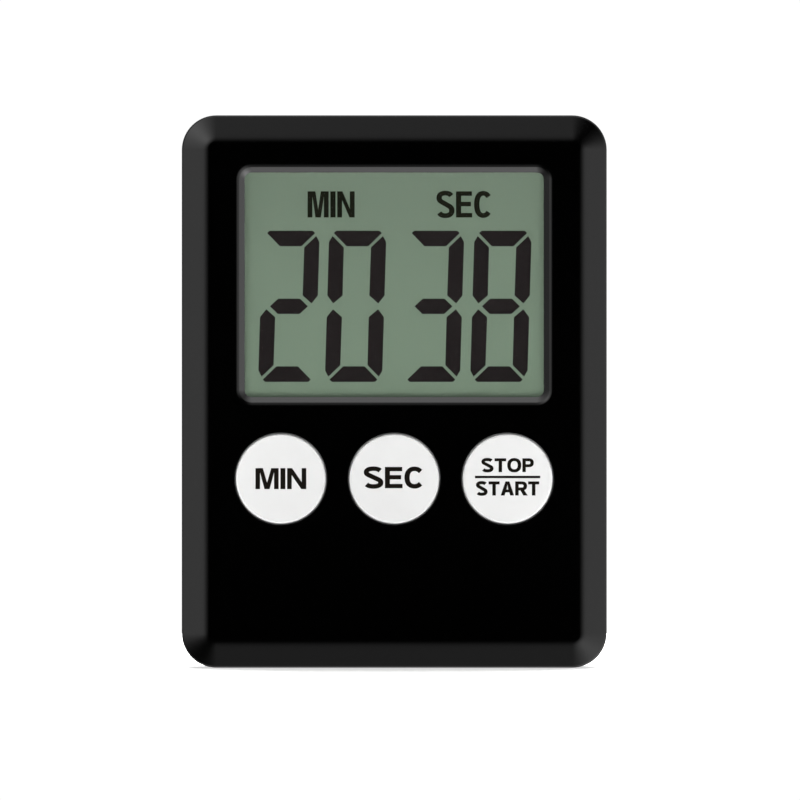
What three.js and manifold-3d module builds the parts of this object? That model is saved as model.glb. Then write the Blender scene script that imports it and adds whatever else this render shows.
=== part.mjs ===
// Countdown timer: a bevelled two-shell case with an LCD window and three push buttons in front,
// and a battery bay, fold-out stand, magnets and hanging slot behind.
// Millimetres, +X right, +Y from the front to the back, +Z up. Depths are counted in y from the
// flat front face, and the finished group is shifted in y to centre its whole depth on the origin.

import * as THREE from 'three';
import { mergeVertices } from 'three/addons/utils/BufferGeometryUtils.js';
import Module from 'manifold-3d';

const wasm = await Module();
wasm.setup();

// Case
const CASE_WIDTH = 65;
const CASE_HEIGHT = 84.5;
const CORNER_RADIUS = 5.3;
const BEVEL_WIDTH = 3.8;
const BEVEL_DEPTH = 2.6;
const BACK_ROUNDING = 2;
const WALL = 1.6;
const PANEL = 1.8;
const PARTING_DEPTH = 8;
const PARTING_GAP = 0.1;
const LIP_HEIGHT = 1.1;
const LIP_THICKNESS = 0.7;
const LIP_CLEARANCE = 0.1;
const OVERCUT = 0.1;

// Window, lens and display
const WINDOW_WIDTH = 48;
const WINDOW_HEIGHT = 36.6;
const WINDOW_CORNER = 2.2;
const WINDOW_TOP_MARGIN = 7.65;
const WINDOW_CHAMFER_WIDTH = 1.1;
const WINDOW_CHAMFER_DEPTH = 0.8;
const LENS_THICKNESS = 0.8;
const LENS_OVERLAP = 1.5;
const LENS_CORNER = 1.4;
const LENS_CLEARANCE = 0.15;
const GLUE = 0.05;
const POLARISER_THICKNESS = 0.2;
const POLARISER_OVERLAP = 1;
const GLASS_THICKNESS = 0.7;
const GLASS_OVERLAP = 2.1;
const GLASS_LEDGE = 2.2;
const REFLECTOR_THICKNESS = 0.25;
const FRAME_CLEARANCE = 0.2;
const FRAME_WALL = 0.8;
const FRAME_CORNER = 0.2;
const ZEBRA_WIDTH = 1.8;

// Buttons and keypad
const BUTTON_DIAMETER = 13.7;
const BUTTON_GAP = 3.6;
const WINDOW_TO_BUTTONS = 4.45;
const BUTTON_PROUD = 1;
const BUTTON_TRAVEL = 0.8;
const BUTTON_CLEARANCE = 0.15;
const BUTTON_EDGE = 0.4;
const FLANGE_OVERLAP = 0.95;
const FLANGE_THICKNESS = 0.8;
const FLANGE_SIDE_GAP = 0.3;
const KEY_WIDTH = 0.8;
const KEY_REACH = 0.6;
const KEY_CLEARANCE = 0.2;
const STEM_RADIUS = 2.5;
const STEM_LENGTH = 0.7;
const SLIDING_GAP = 0.1;
const KEYPAD_THICKNESS = 0.8;
const KEYPAD_MARGIN = 1.8;
const KEYPAD_CORNER = 1.5;
const DOME_TIP_RADIUS = 3;
const DOME_BASE_RADIUS = 4.6;
const DOME_WALL = 0.8;
const PILL_RADIUS = 1.5;
const PILL_THICKNESS = 0.5;

// Circuit board and what it carries
const BOARD_STANDOFF = 4.3;
const BOARD_THICKNESS = 1.2;
const BOARD_EDGE_GAP = 0.9;
const BOARD_CORNER = 1;
const BOARD_SCREW_MARGIN = 2.4;
const BOARD_SCREW_INSET = 4.2;
const BOARD_BOSS_RADIUS = 1.9;
const BOSS_GAP = 0.4;
const BOSS_PROUD = 0.2;
const NOTCH_CLEARANCE = 0.5;
const BOARD_SCREW_RADIUS = 0.8;
const BOARD_SCREW_HEAD_RADIUS = 1.6;
const BOARD_SCREW_HEAD_HEIGHT = 1;
const BOARD_SCREW_LENGTH = 4;
const BLOB_RADIUS = 5;
const BLOB_HEIGHT = 1.3;
const CRYSTAL_RADIUS = 1;
const CRYSTAL_LENGTH = 6;
const INDUCTOR_RADIUS = 2.3;
const TRANSISTOR_RADIUS = 2.2;
const CAN_RADIUS = 2;
const TALL_PART_HEIGHT = 3.5;
const CHIP_LENGTH = 2;
const CHIP_WIDTH = 1.2;
const CHIP_HEIGHT = 0.9;
const RESISTOR_RADIUS = 0.9;
const RESISTOR_LENGTH = 4.4;

// Battery bay and door
const BATTERY_DIAMETER = 10.5;
const BATTERY_LENGTH = 44.5;
const BATTERY_TIP_RADIUS = 1.9;
const BATTERY_TIP_LENGTH = 1.2;
const BATTERY_CLEARANCE = 0.25;
const SPRING_LENGTH = 4.9;
const SPRING_RADIUS = 3.2;
const SPRING_WIRE = 0.35;
const SPRING_TURNS = 3.5;
const CONTACT_THICKNESS = 0.4;
const CONTACT_WIDTH = 7;
const TAB_WIDTH = 0.8;
const TAB_HEIGHT = 0.6;
const TAB_REACH = 2.4;
const TAB_CLEARANCE = 0.2;
const TUB_WALL = 1;
const TUB_GAP = 0.2;
const TUB_FLOOR_GAP = 0.3;
const DOOR_THICKNESS = 1.4;
const DOOR_SIDE_OVERLAP = 1.4;
const DOOR_TOP_OVERLAP = 1.5;
const DOOR_GAP = 0.25;
const DOOR_BARREL = 1;
const DOOR_EDGE_WALL = 2.4;
const DOOR_PIN_RADIUS = 0.5;
const DOOR_PIN_LENGTH = 1.2;
const DOOR_PIN_CLEARANCE = 0.15;
const BEARING_REACH = 1.6;
const LATCH_WIDTH = 7;
const LATCH_RISE = 1.4;
const LATCH_DEPTH = 2.4;
const LATCH_THICKNESS = 0.8;
const NOSE_HEIGHT = 0.45;
const LATCH_CLEARANCE = 0.4;
const LATCH_FLOOR_GAP = 0.2;
const LATCH_SCOOP_RADIUS = 4;
const SCOOP_DEPTH = 1;

// Stand
const STAND_HINGE_RISE = 8.6;
const STAND_WIDTH = 34;
const STAND_LENGTH = 33;
const STAND_ARM = 5;
const STAND_BAR = 6;
const STAND_THICKNESS = 2;
const STAND_SINK = 0.3;
const STAND_FLOOR_GAP = 0.2;
const STAND_SIDE_GAP = 0.3;
const STAND_HEEL_GAP = 0.65;
const STAND_CORNER = 4;
const STAND_INNER_CORNER = 2;
const STAND_PIN_RADIUS = 0.75;
const STAND_PIN_LENGTH = 1.4;
const STAND_PIN_CLEARANCE = 0.1;
const RECESS_FLOOR = 1.1;
const RECESS_WALL = 1.4;
const STAND_SCOOP_RADIUS = 5;
const SCOOP_PAD_HALF = 6.5;
const SCOOP_PAD_DEPTH = 1.4;

// Sounder, magnets, hanging slot and case screws
const SOUNDER_RADIUS = 9;
const SOUNDER_THICKNESS = 0.2;
const CERAMIC_RADIUS = 6;
const SOUNDER_RING_HEIGHT = 1;
const SOUNDER_RING_WALL = 0.9;
const RING_MARGIN = 0.1;
const SOUND_HOLE_RADIUS = 0.6;
const SOUND_HOLE_CIRCLE = 3;
const MAGNET_RADIUS = 6;
const MAGNET_THICKNESS = 2;
const MAGNET_SPACING = 34;
const MAGNET_ABOVE_STAND = 9;
const MAGNET_CLEARANCE = 0.1;
const POCKET_WALL = 1;
const SLOT_ABOVE_STAND = 11.5;
const SLOT_HEAD_RADIUS = 3.5;
const SLOT_HALF_WIDTH = 1.6;
const SLOT_RISE = 6;
const SLOT_POCKET_DEPTH = 5;
const SLOT_POCKET_HALF = 5;
const SLOT_POCKET_MARGIN = 1;
const SCREW_RADIUS = 1;
const SCREW_CLEARANCE = 0.1;
const SCREW_END_GAP = 0.3;
const SCREW_HEAD_RADIUS = 2;
const HEAD_CLEARANCE = 0.2;
const SCREW_HEAD_HEIGHT = 1.4;
const SCREW_LENGTH = 7.4;
const SCREW_SINK = 3.9;
const SCREW_BOSS_RADIUS = 2.2;
const SCREW_TUBE_RADIUS = 3.1;
const UPPER_SCREW_INSET = 5.3;
const LOWER_SCREW_RISE = 3.8;
const TUBE_SINK = 0.3;
const LEAD_RADIUS = 0.5;
const LEAD_GAP = 0.2;
const LEAD_PAD_RISE = 3.4;

// Places that follow from the sizes, all depths counted from the front face
const batteryDepth = PANEL + TUB_GAP + TUB_WALL + BATTERY_CLEARANCE + BATTERY_DIAMETER / 2;
const tubInner = BATTERY_DIAMETER / 2 + BATTERY_CLEARANCE;
const tubOuter = tubInner + TUB_WALL;
const batteryHeight = WALL + TUB_FLOOR_GAP + tubOuter;
const tubLength = BATTERY_LENGTH + SPRING_LENGTH + 2 * CONTACT_THICKNESS + 4 * GLUE;
const doorFront = batteryDepth + tubInner;
const caseDepth = doorFront + DOOR_THICKNESS;
const wallInside = caseDepth - WALL;
// The cavity's own bevel keeps the wall's thickness behind the outer one.
const bevelStep = WALL * Math.hypot(1 / BEVEL_WIDTH, 1 / BEVEL_DEPTH);
const innerBevelWidth = BEVEL_WIDTH * (1 + bevelStep - PANEL / BEVEL_DEPTH) - WALL;
const innerBevelDepth = BEVEL_DEPTH * (1 + bevelStep - WALL / BEVEL_WIDTH) - PANEL;
const windowHeightMid = CASE_HEIGHT - WINDOW_TOP_MARGIN - WINDOW_HEIGHT / 2;
const viewWidth = WINDOW_WIDTH - 2 * WINDOW_CHAMFER_WIDTH;
const viewHeight = WINDOW_HEIGHT - 2 * WINDOW_CHAMFER_WIDTH;
const viewCorner = WINDOW_CORNER - WINDOW_CHAMFER_WIDTH;
const glassWidth = viewWidth + 2 * GLASS_OVERLAP;
const glassTop = windowHeightMid + viewHeight / 2 + LENS_OVERLAP;
const rearGlassBottom = windowHeightMid - viewHeight / 2 - POLARISER_OVERLAP;
const frontGlassBottom = rearGlassBottom - GLASS_LEDGE;
const buttonHeight = windowHeightMid - WINDOW_HEIGHT / 2 - WINDOW_TO_BUTTONS - BUTTON_DIAMETER / 2;
const buttonPitch = BUTTON_DIAMETER + BUTTON_GAP;
const buttonColumns = [-buttonPitch, 0, buttonPitch];
const holeRadius = BUTTON_DIAMETER / 2 + BUTTON_CLEARANCE;
const flangeRadius = BUTTON_DIAMETER / 2 + FLANGE_OVERLAP;
const flangeFront = PANEL + SLIDING_GAP;
const flangeBack = flangeFront + FLANGE_THICKNESS;
const stemEnd = flangeBack + STEM_LENGTH;
const domeTip = stemEnd + SLIDING_GAP;
const boardFront = PANEL + BOARD_STANDOFF;
const boardBack = boardFront + BOARD_THICKNESS;
const pillFront = boardFront - BUTTON_TRAVEL - SLIDING_GAP - PILL_THICKNESS;
const boardHalfWidth = CASE_WIDTH / 2 - WALL - BOARD_EDGE_GAP;
const boardTop = glassTop - POLARISER_OVERLAP;
// The lower board screws stand between neighbouring button flanges, just clear of both.
const lowerBoardScrewX = buttonPitch / 2;
const lowerBoardScrewReach = flangeRadius + BOSS_GAP + BOARD_BOSS_RADIUS;
const lowerBoardScrewZ = buttonHeight - Math.sqrt(lowerBoardScrewReach ** 2 - lowerBoardScrewX ** 2);
const upperBoardScrewX = CASE_WIDTH / 2 - BOARD_SCREW_INSET;
const upperBoardScrewZ = windowHeightMid + viewHeight / 4;
const boardBottom = lowerBoardScrewZ - BOARD_SCREW_MARGIN;
const boardScrews = [
  ['board_screw_lower_left', -lowerBoardScrewX, lowerBoardScrewZ],
  ['board_screw_lower_right', lowerBoardScrewX, lowerBoardScrewZ],
  ['board_screw_upper_left', -upperBoardScrewX, upperBoardScrewZ],
  ['board_screw_upper_right', upperBoardScrewX, upperBoardScrewZ],
];
const keypadHalfHeight = DOME_BASE_RADIUS + KEYPAD_MARGIN;
const keypadHalfLength = buttonPitch + DOME_BASE_RADIUS + KEYPAD_MARGIN;
const doorAxisDepth = caseDepth - DOOR_BARREL;
const doorAxisHeight = DOOR_EDGE_WALL + DOOR_GAP + DOOR_BARREL;
const doorHalfLength = tubLength / 2 + DOOR_SIDE_OVERLAP;
const doorTop = batteryHeight + tubInner + DOOR_TOP_OVERLAP;
const latchTop = doorTop + LATCH_RISE;
const pocketTop = latchTop + LATCH_CLEARANCE;
const hingeHeight = doorTop + STAND_HINGE_RISE;
const standBack = caseDepth - STAND_SINK;
const standFront = standBack - STAND_THICKNESS;
const hingeDepth = standBack - STAND_THICKNESS / 2;
const recessFloor = standFront - STAND_FLOOR_GAP;
const standTop = hingeHeight + STAND_LENGTH;
const sounderHeight = hingeHeight + (STAND_LENGTH - STAND_BAR) / 2;
const sounderBack = wallInside - SOUNDER_RING_HEIGHT - GLUE;
const magnetHeight = standTop + MAGNET_ABOVE_STAND;
const slotHeight = standTop + SLOT_ABOVE_STAND;
const screwSeat = caseDepth - SCREW_SINK;
const bossEnd = PARTING_DEPTH + BOSS_PROUD;
const lowerScrew = [
  CASE_WIDTH / 2 - WALL - SCREW_TUBE_RADIUS + TUBE_SINK,
  doorTop + LOWER_SCREW_RISE,
];
const upperScrew = [CASE_WIDTH / 2 - UPPER_SCREW_INSET, CASE_HEIGHT - UPPER_SCREW_INSET];
const caseScrews = [
  ['case_screw_upper_left', -upperScrew[0], upperScrew[1]],
  ['case_screw_upper_right', upperScrew[0], upperScrew[1]],
  ['case_screw_lower_left', -lowerScrew[0], lowerScrew[1]],
  ['case_screw_lower_right', lowerScrew[0], lowerScrew[1]],
];

const blackGloss = { color: 0x060606, roughness: 0.12, metalness: 0 };
const blackSatin = { color: 0x0b0b0b, roughness: 0.45, metalness: 0 };
const whitePlastic = { color: 0xececea, roughness: 0.4, metalness: 0 };
const clearPlastic = { color: 0xdfe6e0, roughness: 0.08, metalness: 0 };
const displayGrey = { color: 0x708270, roughness: 0.6, metalness: 0 };
const glassClear = { color: 0xc9d6cc, roughness: 0.05, metalness: 0 };
const greyRubber = { color: 0x8c8f8d, roughness: 0.8, metalness: 0 };
const carbonBlack = { color: 0x151515, roughness: 0.9, metalness: 0 };
const boardGreen = { color: 0x1f5a35, roughness: 0.5, metalness: 0 };
const nickel = { color: 0xb9bab8, roughness: 0.3, metalness: 1 };
const brass = { color: 0xc09a4a, roughness: 0.35, metalness: 1 };
const ceramicCream = { color: 0xe6dcc4, roughness: 0.6, metalness: 0 };
const partBlack = { color: 0x1a1a1c, roughness: 0.6, metalness: 0 };
const partTan = { color: 0xc8a26a, roughness: 0.6, metalness: 0 };
const wireRed = { color: 0xb3201c, roughness: 0.5, metalness: 0 };
const cellWrap = { color: 0x2f4a7a, roughness: 0.35, metalness: 0 };

// A closed three.js geometry as a solid that can be joined and cut.
function solidOf(shape) {
  if (!shape.isBufferGeometry) return shape;
  const plain = shape.clone();
  plain.deleteAttribute('normal');
  plain.deleteAttribute('uv');
  const merged = mergeVertices(plain, 1e-4);
  const corners = merged.index.array;
  const triVerts = [];
  for (let i = 0; i < corners.length; i += 3) {
    const face = [corners[i], corners[i + 1], corners[i + 2]];
    if (new Set(face).size === 3) triVerts.push(...face);
  }
  return new wasm.Manifold(new wasm.Mesh({
    numProp: 3,
    vertProperties: merged.attributes.position.array,
    triVerts: new Uint32Array(triVerts),
  }));
}

function join(...shapes) {
  return shapes.map(solidOf).reduce((whole, next) => whole.add(next));
}

function cut(base, ...tools) {
  return tools.map(solidOf).reduce((whole, tool) => whole.subtract(tool), solidOf(base));
}

function meshOf(name, shape, finish, x = 0, y = 0, z = 0) {
  const made = solidOf(shape).getMesh();
  const geometry = new THREE.BufferGeometry();
  geometry.setAttribute('position', new THREE.BufferAttribute(made.vertProperties, 3));
  geometry.setIndex(new THREE.BufferAttribute(made.triVerts, 1));
  geometry.computeVertexNormals();
  const mesh = new THREE.Mesh(geometry, new THREE.MeshStandardMaterial(finish));
  mesh.name = name;
  mesh.position.set(x, y, z);
  return mesh;
}

// Rounded rectangle seen from the front, from its centre, size and corner radius.
function roundedRect(midX, midZ, width, height, radius) {
  const reachX = width / 2 - radius;
  const reachZ = height / 2 - radius;
  const shape = new THREE.Shape();
  shape.absarc(midX + reachX, midZ - reachZ, radius, -Math.PI / 2, 0);
  shape.absarc(midX + reachX, midZ + reachZ, radius, 0, Math.PI / 2);
  shape.absarc(midX - reachX, midZ + reachZ, radius, Math.PI / 2, Math.PI);
  shape.absarc(midX - reachX, midZ - reachZ, radius, Math.PI, 1.5 * Math.PI);
  shape.closePath();
  return shape;
}

// An outline in x and z, pushed from one depth to another. Both ends can be drawn in by an edge
// of the given width and depth: a chamfer in one step, a round in several.
function slab(shape, front, back, edge = {}) {
  const { width = 0, depth = 0, steps = 1, arcSteps = 3 } = edge;
  const geometry = new THREE.ExtrudeGeometry(shape, {
    depth: back - front - 2 * depth,
    curveSegments: arcSteps,
    bevelEnabled: width > 0,
    bevelSize: width,
    bevelOffset: -width,
    bevelThickness: depth,
    bevelSegments: steps,
  });
  return geometry.rotateX(Math.PI / 2).translate(0, back - depth, 0);
}

// A section in y and z, pushed along x.
function bar(section, from, to, arcSteps = 6) {
  const geometry = new THREE.ExtrudeGeometry(section, {
    depth: to - from,
    curveSegments: arcSteps,
    bevelEnabled: false,
  });
  const turned = new THREE.Matrix4().makeBasis(
    new THREE.Vector3(0, 1, 0),
    new THREE.Vector3(0, 0, 1),
    new THREE.Vector3(1, 0, 0),
  );
  return geometry.applyMatrix4(turned).translate(from, 0, 0);
}

function block(fromX, toX, front, back, fromZ, toZ) {
  return new THREE.BoxGeometry(toX - fromX, back - front, toZ - fromZ)
    .translate((fromX + toX) / 2, (front + back) / 2, (fromZ + toZ) / 2);
}

// A disc, post or hole along y, with its own radius at each end when it tapers.
function post(x, z, radius, front, back, facets = 20, backRadius = radius) {
  return new THREE.CylinderGeometry(backRadius, radius, back - front, facets)
    .translate(x, (front + back) / 2, z);
}

// A stretch of x on one side of the middle, given by its distances from it.
function span(side, near, far) {
  return side < 0 ? [-far, -near] : [near, far];
}

// A pin or hole along x.
function axle(depth, height, radius, from, to, facets = 16) {
  return new THREE.CylinderGeometry(radius, radius, to - from, facets)
    .rotateZ(Math.PI / 2)
    .translate((from + to) / 2, depth, height);
}

// A profile of [radius, y] points turned about the y axis.
function turned(profile, facets = 24) {
  return new THREE.LatheGeometry(profile.map(([r, y]) => new THREE.Vector2(r, y)), facets);
}

// A round wire along a smooth route.
function wire(points, radius, steps, facets = 8) {
  const section = new THREE.Shape().absarc(0, 0, radius, 0, 2 * Math.PI);
  const route = new THREE.CatmullRomCurve3(points.map((p) => new THREE.Vector3(...p)));
  return new THREE.ExtrudeGeometry(section, {
    steps,
    curveSegments: facets / 2,
    extrudePath: route,
  });
}

function caseOutline(inset) {
  return roundedRect(
    0,
    CASE_HEIGHT / 2,
    CASE_WIDTH - 2 * inset,
    CASE_HEIGHT - 2 * inset,
    CORNER_RADIUS - inset,
  );
}

function viewOutline(margin, radius = viewCorner) {
  const width = viewWidth + 2 * margin;
  return roundedRect(0, windowHeightMid, width, viewHeight + 2 * margin, radius);
}

// Front shell: bevelled rim, flat panel, chamfered window, button holes, display frame, bosses.
function frontCase() {
  const beyond = PARTING_DEPTH + 2 * BEVEL_DEPTH;
  const shell = slab(caseOutline(0), 0, beyond, { width: BEVEL_WIDTH, depth: BEVEL_DEPTH });
  const cavity = slab(caseOutline(WALL), PANEL, beyond + innerBevelDepth, {
    width: innerBevelWidth,
    depth: innerBevelDepth,
  });
  const rebateInset = WALL - LIP_THICKNESS - LIP_CLEARANCE;
  const rebate = slab(
    caseOutline(rebateInset),
    PARTING_DEPTH - LIP_HEIGHT - LIP_CLEARANCE,
    beyond,
  );
  const behind = block(-CASE_WIDTH, CASE_WIDTH, PARTING_DEPTH, 2 * beyond, -1, CASE_HEIGHT + 1);
  const hollow = cut(shell, cavity, rebate, behind);

  const frameBack = boardFront - GLUE;
  const frameMid = (glassTop + frontGlassBottom) / 2;
  const frameTall = glassTop - frontGlassBottom + 2 * FRAME_CLEARANCE;
  const frameWide = glassWidth + 2 * FRAME_CLEARANCE;
  const frame = cut(
    slab(
      roundedRect(0, frameMid, frameWide + 2 * FRAME_WALL, frameTall + 2 * FRAME_WALL,
        FRAME_CORNER + FRAME_WALL),
      PANEL - GLUE,
      frameBack,
      { arcSteps: 1 },
    ),
    slab(roundedRect(0, frameMid, frameWide, frameTall, FRAME_CORNER), 0, beyond, { arcSteps: 1 }),
  );
  const bosses = [];
  const pilots = [];
  for (const [, x, z] of boardScrews) {
    bosses.push(post(x, z, BOARD_BOSS_RADIUS, PANEL - GLUE, boardFront - GLUE, 16));
    pilots.push(post(x, z, BOARD_SCREW_RADIUS + SCREW_CLEARANCE,
      boardBack - BOARD_SCREW_LENGTH - SCREW_END_GAP, boardFront, 12));
  }
  for (const [, x, z] of caseScrews) {
    bosses.push(post(x, z, SCREW_BOSS_RADIUS, PANEL - GLUE, bossEnd, 16));
    pilots.push(post(x, z, SCREW_RADIUS + SCREW_CLEARANCE, screwSeat - SCREW_LENGTH - SCREW_END_GAP,
      bossEnd + OVERCUT, 12));
  }
  const keys = buttonColumns.map((x) => block(
    x - KEY_WIDTH / 2,
    x + KEY_WIDTH / 2,
    PANEL - GLUE,
    flangeBack + BUTTON_TRAVEL,
    buttonHeight - flangeRadius - BOSS_GAP,
    buttonHeight - flangeRadius + KEY_REACH,
  ));
  const chamfer = slab(
    viewOutline(WINDOW_CHAMFER_WIDTH, WINDOW_CORNER),
    -2 * WINDOW_CHAMFER_DEPTH,
    WINDOW_CHAMFER_DEPTH,
    { width: WINDOW_CHAMFER_WIDTH, depth: WINDOW_CHAMFER_DEPTH },
  );
  const opening = slab(viewOutline(0), 0, PANEL + OVERCUT);
  const seat = slab(
    viewOutline(LENS_OVERLAP + LENS_CLEARANCE, LENS_CORNER + LENS_CLEARANCE),
    PANEL - LENS_THICKNESS - GLUE,
    PANEL + OVERCUT,
  );
  const holes = buttonColumns.map((x) => post(x, buttonHeight, holeRadius, -1, PANEL + OVERCUT, 28));
  return meshOf(
    'front_case',
    cut(join(hollow, frame, ...bosses, ...keys), chamfer, opening, seat, ...holes, ...pilots),
    blackGloss,
  );
}

function display() {
  const group = new THREE.Group();
  const seat = PANEL - LENS_THICKNESS;
  group.add(meshOf('lens', slab(viewOutline(LENS_OVERLAP, LENS_CORNER), seat, PANEL), clearPlastic));
  let depth = PANEL + GLUE;
  const layer = (name, thickness, halfWidth, bottom, top, finish) => {
    const sheet = block(-halfWidth, halfWidth, depth, depth + thickness, bottom, top);
    depth += thickness + GLUE;
    group.add(meshOf(name, sheet, finish));
  };
  const polariserHalf = viewWidth / 2 + POLARISER_OVERLAP;
  const polariserTop = glassTop - (LENS_OVERLAP - POLARISER_OVERLAP);
  layer('lcd_front_polariser', POLARISER_THICKNESS, polariserHalf,
    rearGlassBottom, polariserTop, displayGrey);
  layer('lcd_front_glass', GLASS_THICKNESS, glassWidth / 2,
    frontGlassBottom, glassTop, glassClear);
  const ledge = depth;
  layer('lcd_rear_glass', GLASS_THICKNESS, glassWidth / 2,
    rearGlassBottom, glassTop, glassClear);
  layer('lcd_reflector', REFLECTOR_THICKNESS, polariserHalf,
    rearGlassBottom, polariserTop, displayGrey);
  const stripMid = (frontGlassBottom + rearGlassBottom) / 2;
  group.add(meshOf(
    'zebra_strip',
    block(-viewWidth / 2, viewWidth / 2, ledge, boardFront - GLUE,
      stripMid - ZEBRA_WIDTH / 2, stripMid + ZEBRA_WIDTH / 2),
    greyRubber,
  ));
  return group;
}

// One button about its own axis, with a slot in its flange that keeps its legend upright.
function button(name, x) {
  const radius = BUTTON_DIAMETER / 2;
  const body = turned([
    [0, -BUTTON_PROUD],
    [radius - BUTTON_EDGE, -BUTTON_PROUD],
    [radius - 0.3 * BUTTON_EDGE, 0.3 * BUTTON_EDGE - BUTTON_PROUD],
    [radius, BUTTON_EDGE - BUTTON_PROUD],
    [radius, flangeFront],
    [flangeRadius, flangeFront],
    [flangeRadius, flangeBack],
    [STEM_RADIUS, flangeBack],
    [STEM_RADIUS, stemEnd],
    [0, stemEnd],
  ], 28);
  const slotHalf = KEY_WIDTH / 2 + KEY_CLEARANCE;
  const slot = block(-slotHalf, slotHalf, flangeFront - GLUE, flangeBack + OVERCUT,
    -flangeRadius - OVERCUT, -flangeRadius + KEY_REACH + KEY_CLEARANCE);
  // A flange that would reach the case's side is cut flat there.
  const limit = CASE_WIDTH / 2 - WALL - innerBevelWidth - FLANGE_SIDE_GAP;
  const sides = [
    block(limit - x, CASE_WIDTH, flangeFront, flangeBack, -CASE_WIDTH, CASE_WIDTH),
    block(-CASE_WIDTH, -limit - x, flangeFront, flangeBack, -CASE_WIDTH, CASE_WIDTH),
  ];
  return meshOf(name, cut(body, slot, ...sides), whitePlastic, x, 0, buttonHeight);
}

// Rubber sheet with a hollow dome under each button.
function rubberKeypad() {
  const webFront = boardFront - GLUE - KEYPAD_THICKNESS;
  const webBack = boardFront - GLUE;
  const web = slab(
    roundedRect(0, buttonHeight, 2 * keypadHalfLength, 2 * keypadHalfHeight, KEYPAD_CORNER),
    webFront,
    webBack,
    { arcSteps: 2 },
  );
  const domes = buttonColumns.map((x) => post(x, buttonHeight, DOME_TIP_RADIUS,
    domeTip, webFront + OVERCUT, 20, DOME_BASE_RADIUS));
  const hollows = buttonColumns.map((x) => post(x, buttonHeight, DOME_TIP_RADIUS - DOME_WALL,
    pillFront - SLIDING_GAP, webBack + OVERCUT, 20, DOME_BASE_RADIUS - DOME_WALL));
  const notches = boardScrews.map(([, x, z]) => (
    post(x, z, BOARD_BOSS_RADIUS + NOTCH_CLEARANCE, domeTip, webBack + OVERCUT, 16)
  ));
  return meshOf('rubber_keypad', cut(join(web, ...domes), ...hollows, ...notches), greyRubber);
}

function carbonPill(name, x) {
  const disc = post(0, 0, PILL_RADIUS, 0, PILL_THICKNESS, 16);
  return meshOf(name, disc, carbonBlack, x, pillFront, buttonHeight);
}

function circuitBoard() {
  const plate = slab(
    roundedRect(0, (boardTop + boardBottom) / 2, 2 * boardHalfWidth, boardTop - boardBottom,
      BOARD_CORNER),
    boardFront,
    boardBack,
    { arcSteps: 1 },
  );
  const holes = boardScrews.map(([, x, z]) => (
    post(x, z, BOARD_SCREW_RADIUS + SCREW_CLEARANCE, 0, 2 * boardBack, 12)
  ));
  const room = SCREW_BOSS_RADIUS + NOTCH_CLEARANCE;
  const notches = caseScrews.map(([, x, z]) => {
    const [fromX, toX] = span(Math.sign(x), Math.abs(x) - room, CASE_WIDTH);
    const [fromZ, toZ] = z < CASE_HEIGHT / 2 ? [0, z + room] : [z - room, CASE_HEIGHT];
    return block(fromX, toX, 0, 2 * boardBack, fromZ, toZ);
  });
  const bayTop = batteryHeight + tubOuter + NOTCH_CLEARANCE;
  const bay = block(-CASE_WIDTH, CASE_WIDTH, 0, 2 * boardBack, 0, bayTop);
  return meshOf('circuit_board', cut(plate, ...holes, ...notches, bay), boardGreen);
}

// A screw about its own axis: its head stands on y = 0 and its shank runs towards the front.
function screw(name, x, seat, z, headRadius, headHeight, shankRadius, length) {
  const body = turned([
    [0, -length],
    [0.4 * shankRadius, -length],
    [shankRadius, -length + shankRadius],
    [shankRadius, 0],
    [headRadius, 0],
    [headRadius, 0.55 * headHeight],
    [0.7 * headRadius, headHeight],
    [0, headHeight],
  ], 12);
  return meshOf(name, body, nickel, x, seat, z);
}

// The parts soldered to the back of the circuit board, placed from its lower edge.
function boardParts() {
  const group = new THREE.Group();
  const blob = turned([
    [0, 0],
    [BLOB_RADIUS, 0],
    [0.9 * BLOB_RADIUS, 0.45 * BLOB_HEIGHT],
    [0.6 * BLOB_RADIUS, 0.85 * BLOB_HEIGHT],
    [0, BLOB_HEIGHT],
  ], 20);
  const moulded = new THREE.Shape();
  moulded.absarc(0, 0, TRANSISTOR_RADIUS, -0.2 * Math.PI, 1.2 * Math.PI);
  moulded.closePath();
  const crystal = axle(CRYSTAL_RADIUS, 0, CRYSTAL_RADIUS, -CRYSTAL_LENGTH / 2, CRYSTAL_LENGTH / 2);
  const inductor = post(0, 0, INDUCTOR_RADIUS, 0, TALL_PART_HEIGHT);
  const transistor = slab(moulded, 0, TALL_PART_HEIGHT, { arcSteps: 5 });
  const can = post(0, 0, CAN_RADIUS, 0, TALL_PART_HEIGHT);
  const chip = block(-CHIP_LENGTH / 2, CHIP_LENGTH / 2, 0, CHIP_HEIGHT, -CHIP_WIDTH / 2, CHIP_WIDTH / 2);
  const stick = axle(RESISTOR_RADIUS, 0, RESISTOR_RADIUS, -RESISTOR_LENGTH / 2, RESISTOR_LENGTH / 2);
  const parts = [
    ['chip_blob', blob, partBlack, 0, 28.5],
    ['quartz_crystal', crystal, nickel, 12, 32.5],
    ['buzzer_inductor', inductor, partBlack, -21.5, 19.5],
    ['driver_transistor', transistor, partBlack, 21.5, 14.5],
    ['capacitor_can', can, nickel, -21.5, 11.5],
    ['capacitor_small_left', chip, partTan, -9, 36.5],
    ['capacitor_small_right', chip, partTan, 9, 36.5],
    ['resistor_upper', stick, partTan, 21.5, 24.5],
    ['resistor_lower', stick, partTan, 21.5, 20.5],
  ];
  for (const [name, shape, finish, x, rise] of parts) {
    group.add(meshOf(name, shape, finish, x, boardBack + GLUE, boardBottom + rise));
  }
  return group;
}

// The bay's section in y and z: half round towards the front, straight and open to the back.
function tubSection(radius, back) {
  const section = new THREE.Shape();
  section.absarc(batteryDepth, batteryHeight, radius, Math.PI / 2, 1.5 * Math.PI);
  section.lineTo(back, batteryHeight - radius);
  section.lineTo(back, batteryHeight + radius);
  section.closePath();
  return section;
}

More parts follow.
